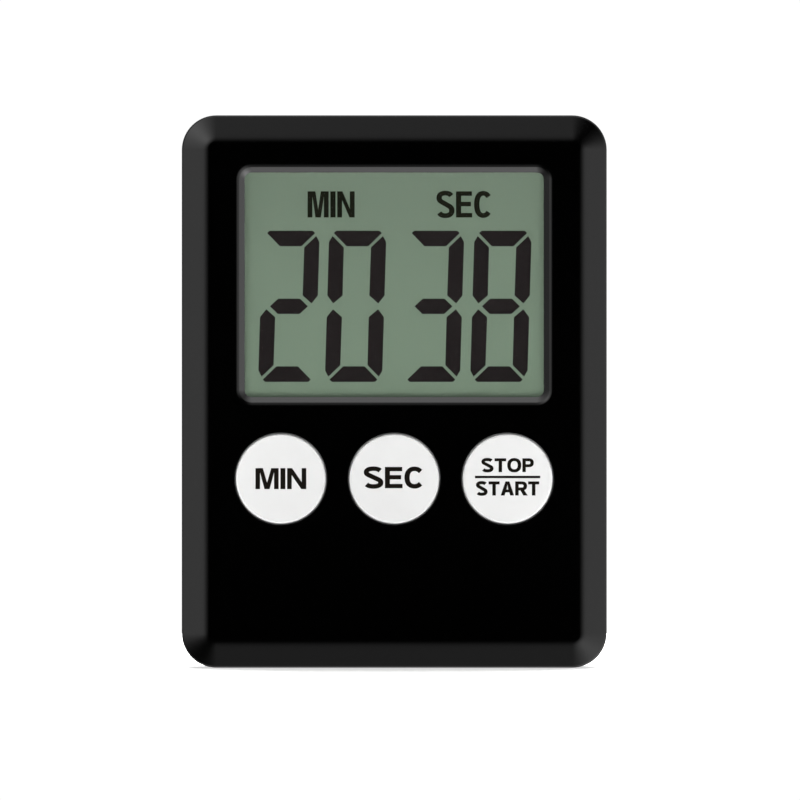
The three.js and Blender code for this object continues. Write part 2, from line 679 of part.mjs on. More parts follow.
// The stand's outline, and with a gap added all round the recess that holds it.
function standOutline(gap, heel) {
  const half = STAND_WIDTH / 2 + gap;
  const inner = STAND_WIDTH / 2 - STAND_ARM - gap;
  const top = standTop + gap;
  const barBottom = standTop - STAND_BAR - gap;
  const round = STAND_CORNER + gap;
  const shape = new THREE.Shape();
  shape.moveTo(inner, hingeHeight - heel);
  shape.lineTo(half, hingeHeight - heel);
  shape.absarc(half - round, top - round, round, 0, Math.PI / 2);
  shape.absarc(-half + round, top - round, round, Math.PI / 2, Math.PI);
  shape.lineTo(-half, hingeHeight - heel);
  shape.lineTo(-inner, hingeHeight - heel);
  const bend = STAND_INNER_CORNER;
  shape.absarc(-inner + bend, barBottom - bend, bend, Math.PI, Math.PI / 2, true);
  shape.absarc(inner - bend, barBottom - bend, bend, Math.PI / 2, 0, true);
  shape.closePath();
  return shape;
}

// Rear shell: battery bay, stand recess, sounder ring, magnet pockets, hanging slot, screw tubes.
function rearCase() {
  const front = PARTING_DEPTH + PARTING_GAP;
  const start = front - 2 * BACK_ROUNDING;
  const edge = { width: BACK_ROUNDING, depth: BACK_ROUNDING, steps: 3 };
  const shell = cut(
    slab(caseOutline(0), start, caseDepth, edge),
    block(-CASE_WIDTH, CASE_WIDTH, start - 1, front, -1, CASE_HEIGHT + 1),
    slab(caseOutline(WALL), start - 1, wallInside),
  );
  const lip = cut(
    slab(caseOutline(WALL - LIP_THICKNESS), PARTING_DEPTH - LIP_HEIGHT, front + GLUE),
    slab(caseOutline(WALL), 0, caseDepth),
  );
  const within = wallInside + GLUE;
  const tubHalf = tubLength / 2;
  const doorHalf = doorHalfLength + DOOR_GAP;
  const doorHole = DOOR_BARREL + DOOR_GAP;
  const latchHalf = LATCH_WIDTH / 2 + LATCH_CLEARANCE;
  const latchFloor = doorFront - LATCH_DEPTH - LATCH_FLOOR_GAP;
  const heel = STAND_HEEL_GAP + STAND_THICKNESS / 2;
  const ringOuter = SOUNDER_RADIUS + RING_MARGIN;
  const slotFloor = caseDepth - SLOT_POCKET_DEPTH;
  const slotBottom = slotHeight - SLOT_HEAD_RADIUS - SLOT_POCKET_MARGIN;
  const slotTop = slotHeight + SLOT_RISE + SLOT_HALF_WIDTH + SLOT_POCKET_MARGIN;
  const out = caseDepth + 1;
  const additions = [
    bar(tubSection(tubOuter, within), -tubHalf - TUB_WALL, tubHalf + TUB_WALL),
    slab(standOutline(STAND_SIDE_GAP + RECESS_WALL, heel + RECESS_WALL),
      recessFloor - RECESS_FLOOR, within, { arcSteps: 2 }),
    post(0, sounderHeight, ringOuter, wallInside - SOUNDER_RING_HEIGHT, within, 28),
    block(-SLOT_POCKET_HALF - POCKET_WALL, SLOT_POCKET_HALF + POCKET_WALL,
      slotFloor - POCKET_WALL, within, slotBottom - POCKET_WALL, slotTop + POCKET_WALL),
    block(-SCOOP_PAD_HALF, SCOOP_PAD_HALF, wallInside - SCOOP_PAD_DEPTH, within,
      standTop, standTop + SCOOP_PAD_HALF),
    block(-latchHalf - POCKET_WALL, latchHalf + POCKET_WALL, latchFloor - POCKET_WALL, within,
      doorTop - POCKET_WALL, pocketTop + POCKET_WALL),
  ];
  const holes = [
    bar(tubSection(tubInner, out), -tubHalf, tubHalf),
    block(-doorHalf, doorHalf, doorFront - OVERCUT, out, doorAxisHeight, doorTop + DOOR_GAP),
    axle(doorAxisDepth, doorAxisHeight, doorHole, -doorHalf, doorHalf, 24),
    block(-doorHalf, doorHalf, doorAxisDepth, out, doorAxisHeight - doorHole, doorAxisHeight),
    block(-latchHalf, latchHalf, latchFloor, out, doorTop - DOOR_GAP, pocketTop),
    post(0, pocketTop, LATCH_SCOOP_RADIUS, caseDepth - SCOOP_DEPTH, out, 28),
    slab(standOutline(STAND_SIDE_GAP, heel), recessFloor, out),
    post(0, standTop, STAND_SCOOP_RADIUS, caseDepth - STAND_THICKNESS, out, 28),
    post(0, sounderHeight, ringOuter - SOUNDER_RING_WALL, sounderBack - 1, wallInside, 28),
    block(-SLOT_POCKET_HALF, SLOT_POCKET_HALF, slotFloor, wallInside, slotBottom, slotTop),
    post(0, slotHeight, SLOT_HEAD_RADIUS, wallInside - OVERCUT, out, 28),
    block(-SLOT_HALF_WIDTH, SLOT_HALF_WIDTH, wallInside - OVERCUT, out,
      slotHeight, slotHeight + SLOT_RISE),
    post(0, slotHeight + SLOT_RISE, SLOT_HALF_WIDTH, wallInside - OVERCUT, out, 20),
  ];
  // Door pin bearings, stand pin sockets, magnet pockets and slots for the solder tabs.
  for (const side of [-1, 1]) {
    const [pinFrom, pinTo] = span(side, doorHalf - OVERCUT,
      doorHalfLength + DOOR_PIN_LENGTH + DOOR_PIN_CLEARANCE);
    const [bearingFrom, bearingTo] = span(side, doorHalf,
      doorHalfLength + DOOR_PIN_LENGTH + DOOR_PIN_CLEARANCE + POCKET_WALL);
    additions.push(block(bearingFrom, bearingTo, doorAxisDepth - BEARING_REACH, within,
      WALL - GLUE, doorAxisHeight + BEARING_REACH));
    holes.push(axle(doorAxisDepth, doorAxisHeight, DOOR_PIN_RADIUS + DOOR_PIN_CLEARANCE,
      pinFrom, pinTo));
    const [socketFrom, socketTo] = span(side, STAND_WIDTH / 2,
      STAND_WIDTH / 2 + STAND_PIN_LENGTH + STAND_PIN_CLEARANCE);
    holes.push(axle(hingeDepth, hingeHeight, STAND_PIN_RADIUS + STAND_PIN_CLEARANCE,
      socketFrom, socketTo, 20));
    const magnetX = side * MAGNET_SPACING / 2;
    const pocketFloor = caseDepth - MAGNET_THICKNESS - GLUE;
    const pocketRadius = MAGNET_RADIUS + MAGNET_CLEARANCE;
    additions.push(post(magnetX, magnetHeight, pocketRadius + POCKET_WALL,
      pocketFloor - POCKET_WALL, within, 28));
    holes.push(post(magnetX, magnetHeight, pocketRadius, pocketFloor, out, 32));
    const [tabFrom, tabTo] = span(side, tubHalf - OVERCUT, tubHalf + TUB_WALL + OVERCUT);
    holes.push(block(tabFrom, tabTo,
      batteryDepth - TAB_WIDTH / 2 - TAB_CLEARANCE, batteryDepth + TAB_WIDTH / 2 + TAB_CLEARANCE,
      batteryHeight - TAB_HEIGHT / 2 - TAB_CLEARANCE,
      batteryHeight + TAB_HEIGHT / 2 + TAB_CLEARANCE));
  }
  for (const [, x, z] of caseScrews) {
    additions.push(post(x, z, SCREW_TUBE_RADIUS, bossEnd + SLIDING_GAP, within, 16));
    holes.push(post(x, z, SCREW_HEAD_RADIUS + HEAD_CLEARANCE, screwSeat, out, 16));
    holes.push(post(x, z, SCREW_RADIUS + SCREW_CLEARANCE, PARTING_DEPTH, caseDepth, 12));
  }
  for (let i = 0; i < 7; i += 1) {
    const turn = i * Math.PI / 3;
    const reach = i < 6 ? SOUND_HOLE_CIRCLE : 0;
    holes.push(post(reach * Math.cos(turn), sounderHeight + reach * Math.sin(turn),
      SOUND_HOLE_RADIUS, wallInside - 1, out, 8));
  }
  return meshOf('rear_case', cut(join(shell, lip, ...additions), ...holes), blackSatin);
}

function stand() {
  const outer = STAND_WIDTH / 2;
  const frame = slab(standOutline(0, 0), standFront, standBack);
  const parts = [];
  for (const side of [-1, 1]) {
    const [armFrom, armTo] = span(side, outer - STAND_ARM, outer);
    const [pinFrom, pinTo] = span(side, outer - 1, outer + STAND_PIN_LENGTH);
    parts.push(axle(hingeDepth, hingeHeight, STAND_THICKNESS / 2, armFrom, armTo));
    parts.push(axle(hingeDepth, hingeHeight, STAND_PIN_RADIUS, pinFrom, pinTo, 20));
  }
  return meshOf('stand', join(frame, ...parts), blackSatin);
}

// Door section in y and z: a barrel round the hinge axis and the cover plate above it.
function batteryDoor() {
  const plate = block(-doorHalfLength, doorHalfLength, doorFront, caseDepth, doorAxisHeight, doorTop);
  const barrel = axle(doorAxisDepth, doorAxisHeight, DOOR_BARREL, -doorHalfLength, doorHalfLength);
  const pins = axle(doorAxisDepth, doorAxisHeight, DOOR_PIN_RADIUS,
    -doorHalfLength - DOOR_PIN_LENGTH, doorHalfLength + DOOR_PIN_LENGTH, 16);
  const half = LATCH_WIDTH / 2;
  const tab = block(-half, half, doorFront, caseDepth, doorTop - 1, latchTop);
  const legBottom = latchTop - NOSE_HEIGHT - LATCH_THICKNESS;
  const leg = block(-half, half, doorFront - LATCH_DEPTH, doorFront + 0.1,
    legBottom, latchTop - NOSE_HEIGHT);
  const nose = block(-half, half, doorFront - 0.6 * LATCH_DEPTH, doorFront - 0.2 * LATCH_DEPTH,
    legBottom, latchTop);
  return meshOf('battery_door', join(plate, barrel, pins, tab, leg, nose), blackSatin);
}

function powerSupply() {
  const group = new THREE.Group();
  const half = tubLength / 2 - GLUE;
  const tip = half - CONTACT_THICKNESS - GLUE;
  const base = tip - BATTERY_LENGTH;
  const radius = BATTERY_DIAMETER / 2;
  const cell = turned([
    [0, 0],
    [radius - 0.5, 0],
    [radius, 0.5],
    [radius, BATTERY_LENGTH - BATTERY_TIP_LENGTH - 0.5],
    [radius - 0.5, BATTERY_LENGTH - BATTERY_TIP_LENGTH],
    [BATTERY_TIP_RADIUS, BATTERY_LENGTH - BATTERY_TIP_LENGTH],
    [BATTERY_TIP_RADIUS, BATTERY_LENGTH],
    [0, BATTERY_LENGTH],
  ], 28).rotateZ(-Math.PI / 2);
  group.add(meshOf('battery_cell', cell, cellWrap, base, batteryDepth, batteryHeight));
  for (const [name, side] of [['negative_contact', -1], ['positive_contact', 1]]) {
    const [plateFrom, plateTo] = span(side, half - CONTACT_THICKNESS, half);
    const [tabFrom, tabTo] = span(side, half - CONTACT_THICKNESS, half + TAB_REACH);
    const size = CONTACT_WIDTH / 2;
    const plate = block(plateFrom, plateTo, batteryDepth - size, batteryDepth + size,
      batteryHeight - size, batteryHeight + size);
    const tab = block(tabFrom, tabTo, batteryDepth - TAB_WIDTH / 2, batteryDepth + TAB_WIDTH / 2,
      batteryHeight - TAB_HEIGHT / 2, batteryHeight + TAB_HEIGHT / 2);
    group.add(meshOf(name, join(plate, tab), nickel));
  }
  const springStart = -half + CONTACT_THICKNESS + GLUE + SPRING_WIRE;
  const springEnd = base - GLUE - SPRING_WIRE;
  const helix = [];
  const stepsPerTurn = 12;
  for (let i = 0; i <= SPRING_TURNS * stepsPerTurn; i += 1) {
    const share = i / (SPRING_TURNS * stepsPerTurn);
    const angle = 2 * Math.PI * SPRING_TURNS * share;
    const reach = SPRING_RADIUS * (1 - 0.3 * share);
    helix.push([
      springStart + (springEnd - springStart) * share,
      batteryDepth + reach * Math.cos(angle),
      batteryHeight + reach * Math.sin(angle),
    ]);
  }
  const coil = wire(helix, SPRING_WIRE, SPRING_TURNS * stepsPerTurn, 6);
  group.add(meshOf('battery_spring', coil, nickel));
  return group;
}

// Insulated leads, from the solder tabs and the sounder to the back of the circuit board.
function leads() {
  const group = new THREE.Group();
  const tabX = tubLength / 2 + TAB_REACH - 0.8;
  const over = batteryHeight + tubOuter;
  const padHeight = boardBottom + LEAD_PAD_RISE;
  for (const [name, side, finish] of [
    ['battery_lead_negative', -1, partBlack],
    ['battery_lead_positive', 1, wireRed],
  ]) {
    const route = [
      [side * tabX, batteryDepth, batteryHeight + TAB_HEIGHT / 2 + LEAD_GAP],
      [side * (tabX + 0.4), batteryDepth + 0.6, over - 0.4],
      [side * (tabX - 1.4), batteryDepth + 1.2, over + 1.4],
      [side * (tabX - 4.6), batteryDepth + 1, over + 2.8],
      [side * (tabX - 6.4), boardBack + 1.6, padHeight - 3.6],
      [side * (tabX - 6.6), boardBack + 0.9, padHeight - 0.3],
      [side * (tabX - 6.6), boardBack + LEAD_GAP, padHeight],
    ];
    group.add(meshOf(name, wire(route, LEAD_RADIUS, 16, 6), finish));
  }
  const ceramicFront = sounderBack - 2 * SOUNDER_THICKNESS - GLUE;
  for (const [name, side, finish] of [
    ['sounder_lead_black', -1, partBlack],
    ['sounder_lead_red', 1, wireRed],
  ]) {
    const route = [
      [side * 3, ceramicFront - 0.3, sounderHeight - 2],
      [side * 3.2, ceramicFront - 1.2, sounderHeight - 1.8],
      [side * 5, ceramicFront - 2.6, sounderHeight + 1.5],
      [side * 6.4, boardBack + 1, sounderHeight + 4.2],
      [side * 6.5, boardBack + LEAD_GAP, sounderHeight + 4.5],
    ];
    group.add(meshOf(name, wire(route, LEAD_RADIUS, 10, 6), finish));
  }
  return group;
}

function sounder() {
  const group = new THREE.Group();
  const plate = post(0, 0, SOUNDER_RADIUS, -SOUNDER_THICKNESS, 0, 28);
  group.add(meshOf('sounder_plate', plate, brass, 0, sounderBack, sounderHeight));
  const ceramic = post(0, 0, CERAMIC_RADIUS, -SOUNDER_THICKNESS, 0, 28);
  group.add(meshOf('sounder_ceramic', ceramic, ceramicCream, 0,
    sounderBack - SOUNDER_THICKNESS - GLUE, sounderHeight));
  return group;
}

const timer = new THREE.Group();
timer.add(frontCase(), rearCase(), stand(), batteryDoor());
timer.add(display(), rubberKeypad(), circuitBoard(), boardParts());
timer.add(powerSupply(), leads(), sounder());

['button_min', 'button_sec', 'button_start_stop'].forEach((name, i) => {
  timer.add(button(name, buttonColumns[i]));
  timer.add(carbonPill(name.replace('button', 'carbon_pill'), buttonColumns[i]));
});
for (const [name, x, z] of boardScrews) {
  timer.add(screw(name, x, boardBack + GLUE, z, BOARD_SCREW_HEAD_RADIUS, BOARD_SCREW_HEAD_HEIGHT,
    BOARD_SCREW_RADIUS, BOARD_SCREW_LENGTH));
}
for (const [name, x, z] of caseScrews) {
  timer.add(screw(name, x, screwSeat + GLUE, z, SCREW_HEAD_RADIUS, SCREW_HEAD_HEIGHT,
    SCREW_RADIUS, SCREW_LENGTH));
}
for (const [name, side] of [['magnet_left', -1], ['magnet_right', 1]]) {
  timer.add(meshOf(name, post(0, 0, MAGNET_RADIUS, -MAGNET_THICKNESS, 0, 32), nickel,
    side * MAGNET_SPACING / 2, caseDepth, magnetHeight));
}

timer.position.y = (BUTTON_PROUD - caseDepth) / 2;

export default timer;
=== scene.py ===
import math

import bmesh
import bpy
from mathutils import Matrix, Vector
from mathutils.geometry import tessellate_polygon


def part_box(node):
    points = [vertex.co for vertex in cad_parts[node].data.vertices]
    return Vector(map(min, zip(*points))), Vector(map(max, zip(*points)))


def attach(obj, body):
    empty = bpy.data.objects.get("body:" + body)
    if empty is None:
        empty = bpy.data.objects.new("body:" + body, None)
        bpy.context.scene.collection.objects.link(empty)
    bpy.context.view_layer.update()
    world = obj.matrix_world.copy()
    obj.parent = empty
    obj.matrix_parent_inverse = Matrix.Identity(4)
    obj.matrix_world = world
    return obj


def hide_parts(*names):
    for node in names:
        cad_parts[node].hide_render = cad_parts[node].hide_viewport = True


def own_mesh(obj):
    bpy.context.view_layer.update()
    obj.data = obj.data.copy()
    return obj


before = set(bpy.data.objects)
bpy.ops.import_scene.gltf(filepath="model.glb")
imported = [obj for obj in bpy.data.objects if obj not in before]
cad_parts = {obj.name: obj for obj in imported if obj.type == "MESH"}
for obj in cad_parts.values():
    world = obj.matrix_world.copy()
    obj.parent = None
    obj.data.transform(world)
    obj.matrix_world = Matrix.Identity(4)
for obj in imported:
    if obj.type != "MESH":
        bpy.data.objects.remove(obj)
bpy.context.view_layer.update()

mm = 0.001
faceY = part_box("front_case")[0].y  # plane of the flat front
caseWide = (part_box("front_case")[1].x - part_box("front_case")[0].x) / mm
caseTall = (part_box("front_case")[1].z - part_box("front_case")[0].z) / mm


def span(node):
    # millimetres, depth counted from the flat front
    return [Vector((corner.x, corner.y - faceY, corner.z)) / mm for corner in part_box(node)]


def middle(node):
    low, high = span(node)
    return (low + high) / 2


# Shapes. Every one is built in millimetres as x, depth from the front, z, and placed by finishMesh.
def arcPoints(midA, midB, radius, fromDeg, toDeg, steps):
    points = []
    for step in range(steps + 1):
        angle = math.radians(fromDeg + (toDeg - fromDeg) * step / steps)
        points.append((midA + radius * math.cos(angle), midB + radius * math.sin(angle)))
    return points


def roundedLoop(width, height, radius, midZ, arcSteps=14):
    loop = []
    for cornerX, cornerZ, start in ((1, -1, -90), (1, 1, 0), (-1, 1, 90), (-1, -1, 180)):
        x = cornerX * (width / 2 - radius)
        z = midZ + cornerZ * (height / 2 - radius)
        loop += arcPoints(x, z, radius, start, start + 90, arcSteps)
    return loop


def circleLoop(x, z, radius, steps):
    return arcPoints(x, z, radius, 0, 360, steps)[:-1]


def caseLoop(inset, radius):
    return roundedLoop(caseWide - 2 * inset, caseTall - 2 * inset, radius, caseTall / 2, arcSteps=18)


meshCleaning = {"cadDoubles": 0.0005, "doubles": 1e-7, "flatDeg": 0.2, "bevelDeg": 30, "normalWeight": 80}


def faceOutward(bm):
    bm.normal_update()
    bmesh.ops.recalc_face_normals(bm, faces=bm.faces)
    if bm.calc_volume(signed=True) < 0:
        bmesh.ops.reverse_faces(bm, faces=bm.faces)
    return bm


def loftBody(rings):
    bm = bmesh.new()
    levels = [[bm.verts.new((x, depth, z)) for x, z in loop] for loop, depth in rings]
    count = len(levels[0])
    for low, high in zip(levels, levels[1:]):
        for i in range(count):
            j = (i + 1) % count
            bm.faces.new((low[i], low[j], high[j], high[i]))
    bm.faces.new(levels[0][::-1])
    bm.faces.new(levels[-1])
    return faceOutward(bm)


def prism(loop, front, back):
    return loftBody([(loop, front), (loop, back)])


def block(fromX, toX, front, back, fromZ, toZ):
    return prism([(fromX, fromZ), (toX, fromZ), (toX, toZ), (fromX, toZ)], front, back)


def axle(depth, z, radius, fromX, toX, steps=40):
    bm = prism(circleLoop(depth, z, radius, steps), fromX, toX)
    for vert in bm.verts:
        vert.co.xy = vert.co.yx
    return faceOutward(bm)


def turnedBody(profile, x, z, steps=96):
    bm = bmesh.new()
    rings = []
    for radius, depth in profile:
        loop = circleLoop(x, z, radius, steps) if radius > 0 else [(x, z)]
        rings.append([bm.verts.new((a, depth, b)) for a, b in loop])
    for low, high in zip(rings, rings[1:]):
        for i in range(steps):
            j = (i + 1) % steps
            corners = [low[i % len(low)], low[j % len(low)], high[j % len(high)], high[i % len(high)]]
            bm.faces.new([v for k, v in enumerate(corners) if v not in corners[:k]])
    return faceOutward(bm)


def objectOf(name, bm, material=None):
    mesh = bpy.data.meshes.new(name)
    bm.to_mesh(mesh)
    bm.free()
    piece = bpy.data.objects.new(name, mesh)
    bpy.context.scene.collection.objects.link(piece)
    if material:
        mesh.materials.append(material)
    return piece


def settled(piece):
    # the modifiers' result becomes the mesh itself
    bpy.context.view_layer.update()
    done = bpy.data.meshes.new_from_object(piece.evaluated_get(bpy.context.evaluated_depsgraph_get()))
    piece.modifiers.clear()
    old = piece.data
    piece.data = done
    bpy.data.meshes.remove(old)
    return piece


def dropObjects(pieces):
    for piece in pieces:
        mesh = piece.data
        bpy.data.objects.remove(piece)
        bpy.data.meshes.remove(mesh)


def bodyOf(piece):
    bm = bmesh.new()
    bm.from_mesh(piece.data)
    dropObjects([piece])
    return bm


def carve(name, base, adds, cuts, material=None):
    piece = objectOf(name, base, material)
    helpers = []
    for operation, bodies in (("UNION", adds), ("DIFFERENCE", cuts)):
        for i, bm in enumerate(bodies):
            helper = objectOf(f"{name}_{operation.lower()}_{i}", bm)
            helpers.append(helper)
            modifier = piece.modifiers.new(helper.name, "BOOLEAN")
            modifier.operation = operation
            modifier.solver = "MANIFOLD"
            modifier.object = helper
    settled(piece)
    dropObjects(helpers)
    return piece


def cadCopy(node):
    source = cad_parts[node]
    bm = bmesh.new()
    bm.from_mesh(source.data)
    bm.transform(Matrix.Scale(1 / mm, 4) @ Matrix.Translation((0, -faceY, 0)) @ source.matrix_world)
    bmesh.ops.remove_doubles(bm, verts=bm.verts, dist=meshCleaning["cadDoubles"])
    return bm


def merged(bodies):
    whole = bmesh.new()
    for bm in bodies:
        carrier = bpy.data.meshes.new("carrier")
        bm.to_mesh(carrier)
        bm.free()
        whole.from_mesh(carrier)
        bpy.data.meshes.remove(carrier)
    return whole


def softened(name, bm, width, segments=3):
    piece = objectOf(name, bm)
    bevel = piece.modifiers.new("edges", "BEVEL")
    bevel.width = width
    bevel.segments = segments
    bevel.limit_method = "ANGLE"
    bevel.angle_limit = math.radians(meshCleaning["bevelDeg"])
    bevel.miter_outer = "MITER_ARC"
    return bodyOf(settled(piece))


def finishMesh(piece, body, *nodes, slot=None, smoothDeg=32):
    mesh = piece.data
    mesh.transform(Matrix.Translation((0, faceY, 0)) @ Matrix.Scale(mm, 4))
    bm = bmesh.new()
    bm.from_mesh(mesh)
    bmesh.ops.remove_doubles(bm, verts=bm.verts, dist=meshCleaning["doubles"])
    flat = math.radians(meshCleaning["flatDeg"])
    bmesh.ops.dissolve_limit(bm, angle_limit=flat, verts=bm.verts, edges=bm.edges)
    bm.to_mesh(mesh)
    bm.free()
    mesh.shade_smooth()
    mesh.set_sharp_from_angle(angle=math.radians(smoothDeg))
    weighted = piece.modifiers.new("normals", "WEIGHTED_NORMAL")
    weighted.mode = "FACE_AREA_WITH_ANGLE"
    weighted.keep_sharp = True
    weighted.weight = meshCleaning["normalWeight"]
    settled(piece)
    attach(piece, body)
    if nodes:
        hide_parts(*nodes)


# Nodes. An input takes either a value or the output that feeds it.
def addNode(tree, kind, inputs=None, **settings):
    node = tree.nodes.new(kind)
    for name, value in settings.items():
        setattr(node, name, value)
    for name, value in (inputs or {}).items():
        if isinstance(value, bpy.types.NodeSocket):
            tree.links.new(value, node.inputs[name])
        else:
            node.inputs[name].default_value = value
    return node


def mixColors(tree, share, first, second):
    return addNode(tree, "ShaderNodeMix", {"Factor": share, "A": first, "B": second}, data_type="RGBA")


def mathOf(tree, operation, *values):
    node = addNode(tree, "ShaderNodeMath", dict(enumerate(values)), operation=operation)
    return node.outputs["Value"]


def newTree(name, kind, inputs, outputs):
    tree = bpy.data.node_groups.new(name, kind)
    for label, socketKind, value in inputs:
        socket = tree.interface.new_socket(label, in_out="INPUT", socket_type="NodeSocket" + socketKind)
        if value is not None:
            socket.default_value = value
    for label, socketKind in outputs:
        tree.interface.new_socket(label, in_out="OUTPUT", socket_type="NodeSocket" + socketKind)
    return tree, tree.nodes.new("NodeGroupInput").outputs


# Geometry Nodes: the same shape placed along a row, or round a ring
def placingTree(name, ring):
    spread = ("Radius", "Float", None) if ring else ("Step", "Vector", None)
    tree, given = newTree(
        name, "GeometryNodeTree",
        [("Shape", "Geometry", None), ("Count", "Int", None), ("Start", "Vector", None), spread,
         ("Material", "Material", None)],
        [("Shape", "Geometry")],
    )
    if ring:
        circle = addNode(tree, "GeometryNodeMeshCircle",
                         {"Vertices": given["Count"], "Radius": given["Radius"]})
        points = addNode(tree, "GeometryNodeTransform",
                         {"Geometry": circle.outputs["Mesh"], "Translation": given["Start"],
                          "Rotation": (math.radians(90), 0, 0)}).outputs["Geometry"]
    else:
        points = addNode(tree, "GeometryNodeMeshLine",
                         {"Count": given["Count"], "Start Location": given["Start"],
                          "Offset": given["Step"]}).outputs["Mesh"]
    place = addNode(tree, "GeometryNodeInstanceOnPoints", {"Points": points, "Instance": given["Shape"]})
    real = addNode(tree, "GeometryNodeRealizeInstances", {"Geometry": place.outputs["Instances"]})
    paint = addNode(tree, "GeometryNodeSetMaterial",
                    {"Geometry": real.outputs["Geometry"], "Material": given["Material"]})
    addNode(tree, "NodeGroupOutput", {"Shape": paint.outputs["Geometry"]})
    return tree


rowTree = placingTree("shapeRow", False)
ringTree = placingTree("shapeRing", True)


def placed(name, bm, tree, **inputs):
    piece = objectOf(name, bm)
    modifier = piece.modifiers.new("placing", "NODES")
    modifier.node_group = tree
    for item in tree.interface.items_tree:
        if item.in_out == "INPUT" and item.name in inputs:
            modifier[item.identifier] = inputs[item.name]
    return settled(piece)


# Shared shader groups
def grainGroup():
    tree, given = newTree(
        "mouldedGrain", "ShaderNodeTree",
        [("Vector", "Vector", None), ("Scale", "Float", 900.0), ("Pits", "Float", 0.35)],
        [("Height", "Float"), ("Tone", "Float")],
    )
    fine = addNode(tree, "ShaderNodeTexNoise",
                   {"Vector": given["Vector"], "Scale": given["Scale"], "Detail": 4.0})
    cells = addNode(tree, "ShaderNodeTexVoronoi",
                    {"Vector": given["Vector"], "Scale": given["Scale"]}, feature="SMOOTH_F1")
    broad = addNode(tree, "ShaderNodeTexNoise", {"Vector": given["Vector"], "Scale": 60.0})
    mix = addNode(tree, "ShaderNodeMix", {"Factor": given["Pits"], "A": fine.outputs["Fac"],
                                          "B": cells.outputs["Distance"]})
    addNode(tree, "NodeGroupOutput", {"Height": mix.outputs["Result"], "Tone": broad.outputs["Fac"]})
    return tree


def handlingGroup():
    tree, given = newTree(
        "handlingMarks", "ShaderNodeTree",
        [("Vector", "Vector", None), ("Scale", "Float", 45.0), ("Coverage", "Float", 0.5)],
        [("Mask", "Float")],
    )
    stretch = addNode(tree, "ShaderNodeMapping", {"Vector": given["Vector"], "Scale": (1.0, 1.0, 0.45)})
    smear = addNode(tree, "ShaderNodeTexNoise",
                    {"Vector": stretch.outputs["Vector"], "Scale": given["Scale"], "Detail": 5.0,
                     "Distortion": 1.2})
    cutoff = addNode(tree, "ShaderNodeMapRange",
                     {"Value": smear.outputs["Fac"], "From Min": given["Coverage"], "From Max": 1.0},
                     interpolation_type="SMOOTHSTEP")
    addNode(tree, "NodeGroupOutput", {"Mask": cutoff.outputs["Result"]})
    return tree


grain = grainGroup()
handling = handlingGroup()
plainLook = {"ior": 1.5, "metallic": 0.0, "specular": 0.5, "grainScale": 900.0, "markCoverage": 0.5,
             "spread": 0.06, "bump": 0.1, "bumpDepth": 0.00002, "shadeShare": 0.85}


def surface(name, ownLook):
    # also gives the node that mixes a finish's two colours, and the output with the place on the piece
    look = {**plainLook, **ownLook}
    material = bpy.data.materials.new(name)
    material.use_nodes = True
    tree = material.node_tree
    shader = tree.nodes["Principled BSDF"]
    for socket, key in (("IOR", "ior"), ("Metallic", "metallic"), ("Specular IOR Level", "specular")):
        shader.inputs[socket].default_value = look[key]
    where = tree.nodes.new("ShaderNodeTexCoord").outputs["Object"]
    grained = addNode(tree, "ShaderNodeGroup", node_tree=grain)
    grained.inputs["Scale"].default_value = look["grainScale"]
    marks = addNode(tree, "ShaderNodeGroup", node_tree=handling)
    marks.inputs["Coverage"].default_value = look["markCoverage"]
    for group in (grained, marks):
        tree.links.new(where, group.inputs["Vector"])
    color = look["color"]
    shade = look.get("shade", [part * look["shadeShare"] for part in color])
    tint = mixColors(tree, grained.outputs["Tone"], (*color, 1), (*shade, 1))
    rough = addNode(tree, "ShaderNodeMapRange",
                    {"Value": marks.outputs["Mask"], "To Min": look["roughness"],
                     "To Max": look["roughness"] + look["spread"]})
    bump = addNode(tree, "ShaderNodeBump",
                   {"Height": grained.outputs["Height"], "Strength": look["bump"],
                    "Distance": look["bumpDepth"]})
    for output, socket in ((tint.outputs["Result"], "Base Color"), (bump.outputs["Normal"], "Normal"),
                           (rough.outputs["Result"], "Roughness")):
        tree.links.new(output, shader.inputs[socket])
    return material, tint, where


